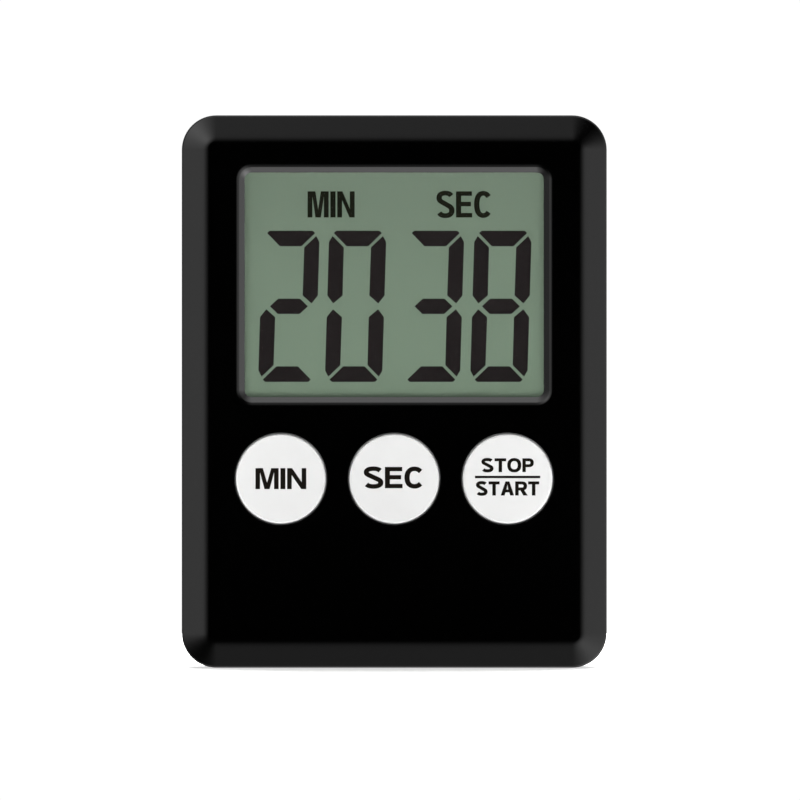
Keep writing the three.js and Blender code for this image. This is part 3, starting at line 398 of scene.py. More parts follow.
finishes = {
    "caseGloss": {"color": (0.0004, 0.0004, 0.0004), "roughness": 0.09, "spread": 0.05, "bump": 0.02,
                  "markCoverage": 0.55},
    "caseSatin": {"color": (0.0075, 0.0075, 0.0078), "roughness": 0.36, "spread": 0.1, "bump": 0.35,
                  "grainScale": 2600.0, "bumpDepth": 0.00003},
    "buttonWhite": {"color": (0.765, 0.765, 0.76), "shade": (0.745, 0.745, 0.74), "roughness": 0.3,
                    "spread": 0.08, "bump": 0.05, "grainScale": 1500.0},
    "legendInk": {"color": (0.0085, 0.007, 0.0052), "roughness": 0.45, "specular": 0.03, "bump": 0.12,
                  "grainScale": 4000.0},
    "wordDark": {"color": (0.0112, 0.0118, 0.0072), "roughness": 0.5, "specular": 0.03, "bump": 0.05},
    "segmentDark": {"color": (0.018, 0.0142, 0.0145), "shade": (0.0153, 0.0121, 0.0125),
                    "roughness": 0.5, "specular": 0.03, "bump": 0.05},
    # painted light: the film's colour is lighter at its bottom and darker at its top, offsetting the
    # shade that falls under the window's lower edge
    "displayFilm": {"color": (0.202, 0.276, 0.2), "shade": (0.188, 0.25, 0.185), "roughness": 0.42,
                    "specular": 0.05, "bump": 0.04, "grainScale": 2500.0},
    "lensClear": {"color": (0.02, 0.024, 0.02), "roughness": 0.04, "spread": 0.04, "bump": 0.01},
    "screwNickel": {"color": (0.56, 0.55, 0.53), "metallic": 1.0, "roughness": 0.24, "spread": 0.14,
                    "bump": 0.18, "grainScale": 1800.0},
    "magnetNickel": {"color": (0.56, 0.55, 0.53), "metallic": 1.0, "roughness": 0.24, "spread": 0.12,
                     "bump": 0.1, "grainScale": 1200.0},
    "soundBrass": {"color": (0.62, 0.42, 0.13), "metallic": 1.0, "roughness": 0.3, "spread": 0.1},
    "soundCeramic": {"color": (0.78, 0.71, 0.56), "roughness": 0.55, "bump": 0.2},
    "keypadRubber": {"color": (0.25, 0.26, 0.26), "roughness": 0.68, "bump": 0.25},
    "carbonRubber": {"color": (0.012, 0.012, 0.012), "roughness": 0.8, "bump": 0.3},
    "resinBlack": {"color": (0.012, 0.012, 0.013), "roughness": 0.38, "bump": 0.15},
    "bodyTan": {"color": (0.52, 0.33, 0.14), "roughness": 0.5, "bump": 0.15},
    "leadBlack": {"color": (0.014, 0.014, 0.014), "roughness": 0.42},
    "leadRed": {"color": (0.42, 0.014, 0.011), "roughness": 0.42},
    "sheetGlass": {"color": (0.42, 0.5, 0.43), "roughness": 0.08, "bump": 0.01},
    "boardGreen": {"color": (0.012, 0.085, 0.03), "roughness": 0.3, "spread": 0.12, "bump": 0.08},
    "cellWrap": {"color": (0.03, 0.06, 0.16), "roughness": 0.28, "spread": 0.1, "bump": 0.03},
}


def alongPiece(tree, where, node, axis):
    # 0 at the low end of a node's box and 1 at its high end
    low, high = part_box(node)
    parts = addNode(tree, "ShaderNodeSeparateXYZ", {"Vector": where})
    along = addNode(tree, "ShaderNodeMapRange",
                    {"Value": parts.outputs[axis], "From Min": getattr(low, axis.lower()),
                     "From Max": getattr(high, axis.lower())})
    return along.outputs["Result"]


boardTracks = {"scale": 160.0, "gap": 0.03, "colors": ((0.012, 0.085, 0.03), (0.016, 0.1, 0.036)),
               "gapColor": (0.03, 0.16, 0.055)}


def drawTracks(tree, tint, where):
    turned = addNode(tree, "ShaderNodeMapping", {"Vector": where, "Rotation": (math.radians(90), 0, 0)})
    first, second = boardTracks["colors"]
    tracks = addNode(tree, "ShaderNodeTexBrick",
                     {"Vector": turned.outputs["Vector"], "Scale": boardTracks["scale"],
                      "Mortar Size": boardTracks["gap"], "Color1": (*first, 1), "Color2": (*second, 1),
                      "Mortar": (*boardTracks["gapColor"], 1)})
    tree.links.new(tracks.outputs["Color"], tint.inputs["A"])


cellBands = [  # where each band starts along the cell, and its colour
    (0.0, (0.55, 0.54, 0.52)), (0.03, (0.02, 0.045, 0.13)), (0.7, (0.62, 0.6, 0.56)),
    (0.735, (0.45, 0.2, 0.07)), (0.955, (0.6, 0.59, 0.57)),
]


def drawBands(tree, tint, where):
    bands = addNode(tree, "ShaderNodeValToRGB", {"Fac": alongPiece(tree, where, "battery_cell", "X")})
    bands.color_ramp.interpolation = "CONSTANT"
    stops = bands.color_ramp.elements
    for i, (position, color) in enumerate(cellBands):
        stop = stops[i] if i < 2 else stops.new(position)
        stop.position = position
        stop.color = (*color, 1)
    for side in "AB":
        tree.links.new(bands.outputs["Color"], tint.inputs[side])


displaySpeckle = {"scale": 3500.0, "strength": 0.3}


# painted light: the film is coloured lighter towards its bottom and darker towards its top, offsetting
# the shade under the window's lower edge; the speckle mixed in is the film's own random tone
def drawFilmPaintedLight(tree, tint, where):
    speckle = addNode(tree, "ShaderNodeTexNoise", {"Vector": where, "Scale": displaySpeckle["scale"]})
    rise = alongPiece(tree, where, "lcd_front_polariser", "Z")
    blend = mathOf(tree, "MULTIPLY_ADD", speckle.outputs["Fac"], displaySpeckle["strength"], rise)
    tree.links.new(blend, tint.inputs["Factor"])


lensAlpha = 0.05
drawn = {"boardGreen": drawTracks, "cellWrap": drawBands, "displayFilm": drawFilmPaintedLight}
finish = {}
for name, look in finishes.items():
    finish[name], tint, where = surface(name, look)
    if name in drawn:
        drawn[name](finish[name].node_tree, tint, where)
lensShader = finish["lensClear"].node_tree.nodes["Principled BSDF"]
lensShader.inputs["Alpha"].default_value = lensAlpha
print("finishes made:", len(finish))

# Front shell
frontShell = {
    "cornerRadius": 5.3,
    "bevelWidth": 3.8,
    "bevelDepth": 2.6,
    "flatMargin": 0.35,  # a first ring this far inside the bevel keeps the flat front flat
    "innerBlend": 1.1,
    "outerEdge": 0.3,
    "parting": 8.0,
    "seamEdge": 0.15,
    "seamBend": 0.3,  # share of that edge where it bends
    "wall": 1.6,
    "panel": 1.8,
    "panelInset": 4.2,
    "smallestCorner": 1.15,
    "wallStart": 3.5,
    "cavityEnd": 20.0,
}
ahead, behind = -1.0, 5.0  # a hole through the front panel is cut from and to these depths


def frontProfile():
    # insets and depths from the flat front to the parting line
    width, depth = frontShell["bevelWidth"], frontShell["bevelDepth"]
    slope = math.atan2(depth, width)
    slopeDeg = math.degrees(slope)
    # soft turn from the flat into the bevel: an arc tangent to both
    flatEnd = width + frontShell["innerBlend"]
    blendRadius = frontShell["innerBlend"] / math.tan(slope / 2)
    points = [(flatEnd + frontShell["flatMargin"], 0.0)]
    points += arcPoints(flatEnd, blendRadius, blendRadius, -90, -90 - slopeDeg, 10)
    # crisp outer edge: an arc tangent to the bevel and the side
    edge = frontShell["outerEdge"]
    edgeRadius = edge / math.tan((math.pi / 2 - slope) / 2)
    points += arcPoints(edgeRadius, depth + edge, edgeRadius, -90 - slopeDeg, -180, 8)
    seam, parting = frontShell["seamEdge"], frontShell["parting"]
    bend = seam * frontShell["seamBend"]
    return points + [(0.0, parting - seam), (bend, parting - bend), (seam, parting)]


windowSize = {
    "width": 48.0,
    "height": 36.6,
    "corner": 2.2,
    "chamfer": 1.15,
    "chamferDepth": 0.95,
    "lipEdge": 0.45,
    "seatOverlap": 1.65,
    "seatCorner": 1.5,
    "seatGap": 0.03,
}
lensLow, lensHigh = span("lens")
windowMidZ = (lensLow.z + lensHigh.z) / 2


def windowLoop(inset):
    return roundedLoop(windowSize["width"] - 2 * inset, windowSize["height"] - 2 * inset,
                       windowSize["corner"] - inset, windowMidZ)


def windowCutter():
    chamfer, depth, lip = windowSize["chamfer"], windowSize["chamferDepth"], windowSize["lipEdge"]
    slope = math.atan2(depth, chamfer)
    lipRadius = lip / math.tan(slope / 2)
    lipArc = arcPoints(-lip, lipRadius, lipRadius, -90, -90 + math.degrees(slope), 8)
    steps = [(-lip, ahead)] + lipArc + [(chamfer, depth), (chamfer, behind)]
    return loftBody([(windowLoop(inset), at) for inset, at in steps])


def lensSeatCutter():
    grown = 2 * windowSize["seatOverlap"] - 2 * windowSize["chamfer"]
    loop = roundedLoop(windowSize["width"] + grown, windowSize["height"] + grown,
                       windowSize["seatCorner"], windowMidZ)
    return prism(loop, lensLow.y - windowSize["seatGap"], behind)


buttonSize = {
    "radius": 6.85,
    "steps": 128,
    "holeClearance": 0.15,
    "holeEdge": 0.18,
    "faceEdge": 0.32,
    "margin": 0.3,  # a first ring this far inside the edge keeps the face flat
    "flangeDepths": (1.9, 2.7),
    "stemRadius": 2.5,
    "printDepth": 0.02,
}
buttonNames = ("button_min", "button_sec", "button_start_stop")
pillLow, pillHigh = span("carbon_pill_sec")
buttonZ = (pillLow.z + pillHigh.z) / 2


def buttonHoleCutter(x):
    radius = buttonSize["radius"] + buttonSize["holeClearance"]
    edge = buttonSize["holeEdge"]
    rim = arcPoints(radius + edge, edge, edge, -90, -180, 6)
    profile = [(0, ahead), (radius + edge, ahead)] + rim + [(radius, behind), (0, behind)]
    return turnedBody(profile, x, buttonZ, buttonSize["steps"])


def buildFrontCase():
    corner, wall = frontShell["cornerRadius"], frontShell["wall"]
    smallest = frontShell["smallestCorner"]
    outer = loftBody([(caseLoop(inset, max(corner - inset, smallest)), depth)
                      for inset, depth in frontProfile()])
    cavity = loftBody([
        (caseLoop(frontShell["panelInset"], smallest), frontShell["panel"]),
        (caseLoop(wall, corner - wall), frontShell["wallStart"]),
        (caseLoop(wall, corner - wall), frontShell["cavityEnd"]),
    ])
    holes = [buttonHoleCutter(middle(name).x) for name in buttonNames]
    piece = carve("front_shell", outer, [], [cavity, windowCutter(), lensSeatCutter()] + holes,
                  finish["caseGloss"])
    finishMesh(piece, "case", "front_case", slot="case_gloss", smoothDeg=25)


def buildButtons():
    radius, edge, stem = buttonSize["radius"], buttonSize["faceEdge"], buttonSize["stemRadius"]
    flangeFront, flangeBack = buttonSize["flangeDepths"]
    for name in buttonNames:
        low, high = span(name)
        face = low.y + buttonSize["printDepth"]
        flange = (high.x - low.x) / 2
        profile = [(0, face), (radius - edge - buttonSize["margin"], face)]
        profile += arcPoints(radius - edge, face + edge, edge, -90, 0, 10)
        profile += [(radius, flangeFront), (flange, flangeFront), (flange, flangeBack),
                    (stem, flangeBack), (stem, high.y), (0, high.y)]
        body = turnedBody(profile, middle(name).x, buttonZ, buttonSize["steps"])
        finishMesh(objectOf(name + "_cap", body, finish["buttonWhite"]), name, name, slot="button_white")


buildFrontCase()
buildButtons()
print("front shell and buttons built")

# Letters are outlines with x from 0 to the letter's width, all in shares of the cap height
lettering = {"curveSteps": 40, "barShare": 0.86, "apex": 0.52, "roundness": 2.3, "bowl": 0.57,
             "smoothing": 6}
letterWidths = {"M": 0.97, "N": 0.8, "S": 0.8, "E": 0.73, "C": 0.84, "T": 0.77, "O": 0.93,
                "P": 0.76, "A": 0.93, "R": 0.83}


def ovalArc(midX, midZ, acrossR, upR, fromDeg, toDeg):
    power = 2 / lettering["roundness"]
    steps = lettering["curveSteps"]
    points = []
    for step in range(steps + 1):
        angle = math.radians(fromDeg + (toDeg - fromDeg) * step / steps)
        c, s = math.cos(angle), math.sin(angle)
        points.append((midX + acrossR * math.copysign(abs(c) ** power, c),
                       midZ + upR * math.copysign(abs(s) ** power, s)))
    return points


def spineStroke(spine, stem, bar):
    # both edges of a curved stroke, its width going from stem to bar as it turns level
    for _ in range(lettering["smoothing"]):
        spine = [spine[0]] + [((a[0] + 2 * b[0] + c[0]) / 4, (a[1] + 2 * b[1] + c[1]) / 4)
                              for a, b, c in zip(spine, spine[1:], spine[2:])] + [spine[-1]]
    left, right = [], []
    for i, (x, z) in enumerate(spine):
        before = spine[max(i - 1, 0)]
        after = spine[min(i + 1, len(spine) - 1)]
        along = Vector((after[0] - before[0], after[1] - before[1])).normalized()
        half = (along.x ** 2 * bar + along.y ** 2 * stem) / 2
        left.append((x - along.y * half, z + along.x * half))
        right.append((x + along.y * half, z - along.x * half))
    return left, right


def straightLetter(letter, w, stem, bar):
    mid = w / 2
    side = stem * 0.93
    if letter == "I":
        return [(0, 0), (stem, 0), (stem, 1), (0, 1)]
    if letter == "T":
        return [(mid - stem / 2, 0), (mid + stem / 2, 0), (mid + stem / 2, 1 - bar), (w, 1 - bar),
                (w, 1), (0, 1), (0, 1 - bar), (mid - stem / 2, 1 - bar)]
    if letter == "E":
        low, high = 0.5 - bar * 0.42, 0.5 + bar * 0.58
        return [(0, 0), (w, 0), (w, bar), (stem, bar), (stem, low), (w * 0.92, low), (w * 0.92, high),
                (stem, high), (stem, 1 - bar), (w * 0.98, 1 - bar), (w * 0.98, 1), (0, 1)]
    if letter == "N":
        return [(0, 0), (side, 0), (side, 0.66), (w - stem, 0), (w, 0), (w, 1), (w - side, 1),
                (w - side, 0.34), (stem, 1), (0, 1)]
    wing, apex = stem * 1.5, stem * lettering["apex"]  # an M
    return [(0, 0), (side, 0), (side, 0.79), (mid - apex, 0), (mid + apex, 0), (w - side, 0.79),
            (w - side, 0), (w, 0), (w, 1), (w - wing, 1), (mid, 0.31), (wing, 1), (0, 1)]


def letterA(w, stem, bar):
    mid = w / 2
    foot, top = stem * 1.08, stem * 0.56
    crossLow, crossHigh = 0.22, 0.22 + bar * 0.95
    lowX = foot + (mid - top) * crossLow
    highX = foot + (mid - top) * crossHigh
    return [[(0, 0), (foot, 0), (lowX, crossLow), (w - lowX, crossLow), (w - foot, 0), (w, 0),
             (mid + top, 1), (mid - top, 1)],
            [(highX, crossHigh), (w - highX, crossHigh), (mid, 0.77)]]


def bowlLetter(letter, w, stem, bar):
    bowl = lettering["bowl"]  # height of the upper edge of the bowl's lower bar
    low = bowl - bar
    turnX = w * 0.56
    midZ = (1 + bowl - bar) / 2
    outer = ovalArc(turnX, midZ, w - turnX, (1 - bowl + bar) / 2, -90, 90)
    inner = ovalArc(turnX, midZ, w - turnX - stem, (1 - bowl - bar) / 2, -90, 90)
    hole = [(stem, bowl)] + inner + [(stem, 1 - bar)]
    if letter == "P":
        return [[(0, 0), (stem, 0), (stem, low)] + outer + [(0, 1)], hole]
    leg = [(0, 0), (stem, 0), (stem, low), (w * 0.44, low), (w * 1.06 - stem * 1.25, 0),
           (w * 1.06, 0), (w * 0.76, low + 0.025)]
    bend = [point for point in outer if point[0] > w * 0.77 or point[1] > 0.9]
    return [leg + bend + [(0, 1)], hole]


def letterLoops(letter, w, stem):
    bar = stem * lettering["barShare"]
    mid = w / 2
    if letter == "A":
        return letterA(w, stem, bar)
    if letter == "O":
        return [ovalArc(mid, 0.5, mid, 0.52, 0, 360)[:-1],
                ovalArc(mid, 0.5, mid - stem * 1.02, 0.52 - bar * 1.04, 0, 360)[:-1]]
    if letter in "PR":
        return bowlLetter(letter, w, stem, bar)
    if letter in "CS":
        if letter == "C":
            spine = ovalArc(mid, 0.5, mid - stem / 2, 0.52 - bar / 2, 40, 320)
        else:
            reach = mid - stem / 2
            spine = ovalArc(mid, 0.752, reach, 0.268 - bar / 2, 22, 245)
            spine += ovalArc(mid, 0.264, reach * 1.03, 0.284 - bar / 2, 65, -158)
        return spineStroke(spine, stem * 1.04, bar * 1.06)
    return [straightLetter(letter, w, stem, bar)]


legends = {
    "thickness": 0.02,
    "sink": 0.01,
    "gap": 0.075,
    "buttonStem": 0.235,
    "smallStem": 0.25,
    "smallBelow": 2.5,
    "displayStem": 0.2,
    # each word with its width, height and rise above the button's middle
    "buttonWords": {
        "button_min": [("MIN", 7.75, 3.2, 0.0)],
        "button_sec": [("SEC", 9.3, 3.25, 0.16)],
        "button_start_stop": [("STOP", 8.0, 2.1, 2.05), ("START", 9.65, 2.15, -1.5)],
    },
    "rule": {"long": 9.95, "thick": 0.37, "rise": 0.25},
    "displayWords": [("MIN", 7.2, 4.0, -9.65), ("SEC", 8.6, 4.0, 10.75)],
    "displayRise": 70.85,
}


def wordBody(word, width, height, x, z, front, back, stem):
    # letters keep their stem while their widths and gaps shrink or grow to fill the word's width
    target = width / height
    fixed = stem * word.count("I")
    loose = sum(letterWidths[letter] for letter in word if letter != "I")
    stretch = (target - fixed) / (loose + legends["gap"] * (len(word) - 1))
    bm = bmesh.new()
    pen = -target / 2
    for letter in word:
        wide = stem if letter == "I" else letterWidths[letter] * stretch
        loops = [[(x + (pen + a) * height, z + (b - 0.5) * height) for a, b in loop]
                 for loop in letterLoops(letter, wide, stem)]
        verts = [bm.verts.new((a, back, b)) for loop in loops for a, b in loop]
        if letter in "SC":
            half = len(loops[0])
            faces = [(i, i + 1, half + i + 1, half + i) for i in range(half - 1)]
        else:
            faces = tessellate_polygon([[(a, b, 0) for a, b in loop] for loop in loops])
        for corners in faces:
            bm.faces.new([verts[i] for i in corners])
        pen += wide + legends["gap"] * stretch
    bmesh.ops.recalc_face_normals(bm, faces=bm.faces)
    raised = bmesh.ops.extrude_face_region(bm, geom=list(bm.faces))
    for part in raised["geom"]:
        if isinstance(part, bmesh.types.BMVert):
            part.co.y = front
    return faceOutward(bm)


def buildLegends():
    rule = legends["rule"]
    for name, words in legends["buttonWords"].items():
        front = span(name)[0].y
        back = front + legends["thickness"] + legends["sink"]
        x = middle(name).x
        bodies = []
        for word, width, height, rise in words:
            stem = legends["smallStem" if height < legends["smallBelow"] else "buttonStem"]
            bodies.append(wordBody(word, width, height, x, buttonZ + rise, front, back, stem))
        if len(words) == 2:
            ruleZ = buttonZ + rule["rise"]
            bodies.append(block(x - rule["long"] / 2, x + rule["long"] / 2, front, back,
                                ruleZ - rule["thick"] / 2, ruleZ + rule["thick"] / 2))
        piece = objectOf("legend" + name[len("button"):], merged(bodies), finish["legendInk"])
        finishMesh(piece, name, slot="button_white")


buildLegends()
print("button legends built")

# Display: each digit's segments are drawn from its middle, corners counted from its upper left
digitShape = {
    "width": 8.75,
    "height": 23.1,
    "slantDeg": 1.7,
    "barCorners": [(0.70, 0.35), (1.10, 0.0), (2.72, 2.37)],
    "sideCorners": [(0.52, 0.81), (0.0, 1.73), (0.0, 9.9), (0.93, 11.1), (2.33, 9.9), (2.3, 2.54)],
    "middleCorners": [(1.47, 0.0), (2.71, 1.17)],
    "midHeight": 55.27,
    "columns": (-16.1, -5.9, 6.0, 16.3),
    "shown": "2038",
    "depths": (0.03, 0.005),  # front and back of the segments, ahead of the film
}
litSegments = {"0": "abcdef", "2": "abdeg", "3": "abcdg", "8": "abcdefg"}
filmCorner = 0.4
lensShape = {"corner": 1.4, "edge": 0.1}


def flipped(loop, acrossSign, upSign):
    return [(acrossSign * x, upSign * z) for x, z in loop]


def segmentLoops():
    wide = digitShape["width"] / 2
    tall = digitShape["height"] / 2
    left = [(-wide + x, tall - z) for x, z in digitShape["barCorners"]]
    tip, top, low = left
    bar = [tip, top] + flipped([top, tip, low], -1, 1) + [low]
    side = [(-wide + x, tall - z) for x, z in digitShape["sideCorners"]]
    point, shoulder = [(-wide + x, z) for x, z in digitShape["middleCorners"]]
    centre = [point, shoulder] + flipped([shoulder, point], -1, 1)
    centre += flipped([shoulder], -1, -1) + flipped([shoulder], 1, -1)
    return {"a": bar, "d": flipped(bar, 1, -1), "f": side, "b": flipped(side, -1, 1),
            "e": flipped(side, 1, -1), "c": flipped(side, -1, -1), "g": centre}


def buildDigits(front, back):
    loops = segmentLoops()
    lean = math.tan(math.radians(digitShape["slantDeg"]))
    bodies = []
    for column, digit in zip(digitShape["columns"], digitShape["shown"]):
        for key in litSegments[digit]:
            loop = [(column + x + lean * z, digitShape["midHeight"] + z) for x, z in loops[key]]
            bodies.append(prism(loop, front, back))
    piece = objectOf("display_digits", merged(bodies), finish["segmentDark"])
    finishMesh(piece, "case", slot="display_film")


def buildDisplay():
    low, high = span("lcd_front_polariser")
    film = prism(roundedLoop(high.x - low.x, high.z - low.z, filmCorner,
                             (low.z + high.z) / 2, arcSteps=6), low.y, high.y)
    finishMesh(objectOf("display_film", film, finish["displayFilm"]), "case",
               "lcd_front_polariser", slot="display_film")
    front, back = [low.y - proud for proud in digitShape["depths"]]
    buildDigits(front, back)
    words = [wordBody(word, width, height, x, legends["displayRise"], front, back,
                      legends["displayStem"])
             for word, width, height, x in legends["displayWords"]]
    finishMesh(objectOf("display_words", merged(words), finish["wordDark"]), "case",
               slot="display_film")
    edge = lensShape["edge"]
    wide, tall = lensHigh.x - lensLow.x, lensHigh.z - lensLow.z
    face = roundedLoop(wide - 2 * edge, tall - 2 * edge, lensShape["corner"] - edge, windowMidZ)
    side = roundedLoop(wide, tall, lensShape["corner"], windowMidZ)
    pane = loftBody([(face, lensLow.y), (side, lensLow.y + edge), (side, lensHigh.y)])
    finishMesh(objectOf("lens_pane", pane, finish["lensClear"]), "case", "lens", slot="lens_clear")


buildDisplay()
print("display built")

# Rear. The stand, door, magnets and screws come before the shell, whose openings follow their sizes.
backDepth = span("rear_case")[1].y
standLow, standHigh = span("stand")
doorLow, doorHigh = span("battery_door")
hingeZ = standLow.z + (standHigh.y - standLow.y) / 2

standShape = {
    "halfWidth": 17.0,
    "arm": 5.0,
    "bar": 6.0,
    "corner": 4.0,
    "innerCorner": 2.0,
    "edge": 0.35,
    "barrelEdge": 0.15,
    "pinRadius": 0.75,
    "pinRoot": 1.0,
    "pinEdge": 0.1,
    "sideGap": 0.3,
    "heel": 1.65,
    "scoop": (5.0, 2.0),  # radius and depth of the finger scoop above it
}
standGrips = {"count": 4, "step": 0.9, "depth": 0.18, "half": (6.0, 0.2), "belowTop": 4.4}


def standLoop(gap, heel=0.0, steps=10):
    half = standShape["halfWidth"] + gap
    inner = half - 2 * gap - standShape["arm"]
    top = standHigh.z + gap
    barLow = standHigh.z - standShape["bar"] - gap
    corner, bend = standShape["corner"] + gap, standShape["innerCorner"]
    low = hingeZ - heel
    loop = [(inner, low), (half, low)]
    loop += arcPoints(half - corner, top - corner, corner, 0, 90, steps)
    loop += arcPoints(-half + corner, top - corner, corner, 90, 180, steps)
    loop += [(-half, low), (-inner, low)]
    loop += arcPoints(-inner + bend, barLow - bend, bend, 180, 90, steps)
    loop += arcPoints(inner - bend, barLow - bend, bend, 90, 0, steps)
    return loop


def gripRow(name, grips, firstZ, back):
    # grooves across the back face, one above the other
    halfX, halfZ = grips["half"]
    groove = block(-halfX, halfX, back - grips["depth"], back + 1, -halfZ, halfZ)
    return bodyOf(placed(name, groove, rowTree, Count=grips["count"], Start=(0, 0, firstZ),
                         Step=(0, 0, grips["step"])))


def buildStand():
    front, back = standLow.y, standHigh.y
    axisDepth = (front + back) / 2
    reach, arm, pin = standShape["halfWidth"], standShape["arm"], standShape["pinRadius"]
    bar = softened("stand_frame", prism(standLoop(0), front, back), standShape["edge"], 4)
    adds = []
    for side in (-1, 1):
        fromX, toX = sorted((side * (reach - arm), side * reach))
        barrel = axle(axisDepth, hingeZ, (back - front) / 2, fromX, toX)
        adds.append(softened("stand_barrel", barrel, standShape["barrelEdge"], 2))
        fromX, toX = sorted((side * (reach - standShape["pinRoot"]), side * standHigh.x))
        pinBody = axle(axisDepth, hingeZ, pin, fromX, toX)
        adds.append(softened("stand_pin", pinBody, standShape["pinEdge"], 2))
    grips = gripRow("stand_grips", standGrips, standHigh.z - standGrips["belowTop"], back)
    piece = carve("stand_frame", bar, adds, [grips], finish["caseSatin"])
    finishMesh(piece, "stand", "stand", slot="case_satin")


doorShape = {
    "gap": 0.25,
    "latchClearance": 0.4,
    "latchHalf": 3.5,
    "pinReach": 1.2,
    "pinRadius": 0.5,
    "barrel": 1.0,
    "topEdge": 15.4,
    "latchEdge": 16.8,
    "plate": 1.4,
    "leg": (1.25, 0.45),  # its two faces, below the latch edge
    "legRoot": 0.3,
    "nose": (1.44, 0.48),  # its two faces, in front of the plate
    "edges": {"plate": 0.22, "barrel": 0.15, "pins": 0.1, "leg": 0.12, "nose": 0.18},
    "scoop": (4.0, 1.0),
}
doorGrips = {"count": 6, "step": 0.95, "depth": 0.3, "half": (4.5, 0.22), "aboveAxis": 2.2}
doorArrow = {"half": 1.5, "fromAxis": (8.4, 10.4)}


def doorLoop(low, gap=0.0, latchGap=0.0):
    # the plate with its tab, or with gaps the hole round them
    half = doorHigh.x - doorShape["pinReach"] + gap
    tab = doorShape["latchHalf"] + latchGap
    side = doorShape["topEdge"] + gap
    top = doorShape["latchEdge"] + latchGap
    return [(-half, low), (half, low), (half, side), (tab, side), (tab, top), (-tab, top),
            (-tab, side), (-half, side)]


def doorOpening(grow):
    gap = doorShape["gap"] + grow
    return doorLoop(doorLow.z - gap, gap, doorShape["latchClearance"] + grow)


def buildDoor():
    back = doorHigh.y
    front = back - doorShape["plate"]
    barrel = doorShape["barrel"]
    axisZ, axisDepth = doorLow.z + barrel, back - barrel
    half = doorHigh.x - doorShape["pinReach"]
    tab, top = doorShape["latchHalf"], doorShape["latchEdge"]
    legLow, legHigh = [top - below for below in doorShape["leg"]]
    noseFront, noseBack = [front - further for further in doorShape["nose"]]
    edges = doorShape["edges"]
    plate = softened("door_plate", prism(doorLoop(axisZ), front, back), edges["plate"])
    added = {
        "barrel": axle(axisDepth, axisZ, barrel, -half, half),
        "pins": axle(axisDepth, axisZ, doorShape["pinRadius"], doorLow.x, doorHigh.x),
        "leg": block(-tab, tab, doorLow.y, front + doorShape["legRoot"], legLow, legHigh),
        "nose": block(-tab, tab, noseFront, noseBack, legLow, top),
    }
    adds = [softened(f"door_{name}", bm, edges[name], 2) for name, bm in added.items()]
    grips = gripRow("door_grips", doorGrips, axisZ + doorGrips["aboveAxis"], back)
    wing = doorArrow["half"]
    tail, tip = [axisZ + above for above in doorArrow["fromAxis"]]
    arrow = prism([(-wing, tail), (wing, tail), (0, tip)], back - doorGrips["depth"], back + 1)
    piece = carve("door_cover", plate, adds, [grips, arrow], finish["caseSatin"])
    finishMesh(piece, "battery_door", "battery_door", slot="case_satin")


magnetShape = {"edge": 0.3, "margin": 0.4, "backEdge": 0.2, "pocketGap": 0.1}
magnetNodes = ("magnet_left", "magnet_right")


def buildMagnets():
    edge, chamfer = magnetShape["edge"], magnetShape["backEdge"]
    for node in magnetNodes:
        low, high = span(node)
        radius = (high.x - low.x) / 2
        profile = [(0, high.y), (radius - edge - magnetShape["margin"], high.y)]
        profile += arcPoints(radius - edge, high.y - edge, edge, 90, 0, 6)
        profile += [(radius, low.y + chamfer), (radius - chamfer, low.y), (0, low.y)]
        body = turnedBody(profile, middle(node).x, middle(node).z)
        finishMesh(objectOf(node + "_disc", body, finish["magnetNickel"]), "case", node,
                   slot="magnet_nickel")


screwShape = {
    "head": 2.0,
    "headHeight": 1.4,
    "clearance": 0.2,
    "dome": 0.45,
    "margin": 0.3,
    "shaft": 1.0,
    "root": 0.74,
    "pitch": 0.5,
    "plain": 0.4,  # shaft without thread below the head
    "tip": 0.5,
    "tipLength": 0.2,
    "crossHalf": 0.26,
    "crossReach": 1.25,
    "crossDepth": 0.75,
    "crossTaper": (0.5, 0.72),  # shares of the cross's reach and half width left at its floor
}
screwRows = [[f"case_screw_{row}_{side}" for side in ("left", "right")] for row in ("upper", "lower")]


def rectangle(a, b):
    return [(-a, -b), (a, -b), (a, b), (-a, b)]


def crossCutters(top):
    half, reach = screwShape["crossHalf"], screwShape["crossReach"]
    reachShare, halfShare = screwShape["crossTaper"]
    floor = top - screwShape["crossDepth"]
    foot, mouth = (half * halfShare, reach * reachShare), (half, reach)
    cutters = []
    for low, high in ((foot, mouth), (foot[::-1], mouth[::-1])):
        loop = rectangle(*high)
        cutters.append(loftBody([(rectangle(*low), floor), (loop, top), (loop, top + 1)]))
    return cutters


def screwBody(low, high):
    head, dome, shaft = screwShape["head"], screwShape["dome"], screwShape["shaft"]
    pitch, plain = screwShape["pitch"], screwShape["plain"]
    seat = high.y - screwShape["headHeight"]
    profile = [(0, high.y), (head - dome - screwShape["margin"], high.y)]
    profile += arcPoints(head - dome, high.y - dome, dome, 90, 0, 6)
    profile += [(head, seat), (shaft, seat)]
    for turn in range(int((seat - low.y - plain - screwShape["tipLength"]) / pitch)):
        level = seat - plain - pitch * turn
        profile += [(screwShape["root"], level), (shaft, level - pitch / 2)]
    profile += [(screwShape["tip"], low.y), (0, low.y)]
    return bodyOf(carve("screw", turnedBody(profile, 0, 0, 48), [], crossCutters(high.y)))


def buildScrews():
    for left, right in screwRows:
        start, end = middle(left), middle(right)
        row = left.split("_")[2]
        rowOfTwo = placed(f"case_screws_{row}", screwBody(*span(left)), rowTree, Count=2,
                          Start=(start.x, 0, start.z), Step=(end.x - start.x, 0, 0),
                          Material=finish["screwNickel"])
        finishMesh(rowOfTwo, "case", left, right, slot="plated_steel")


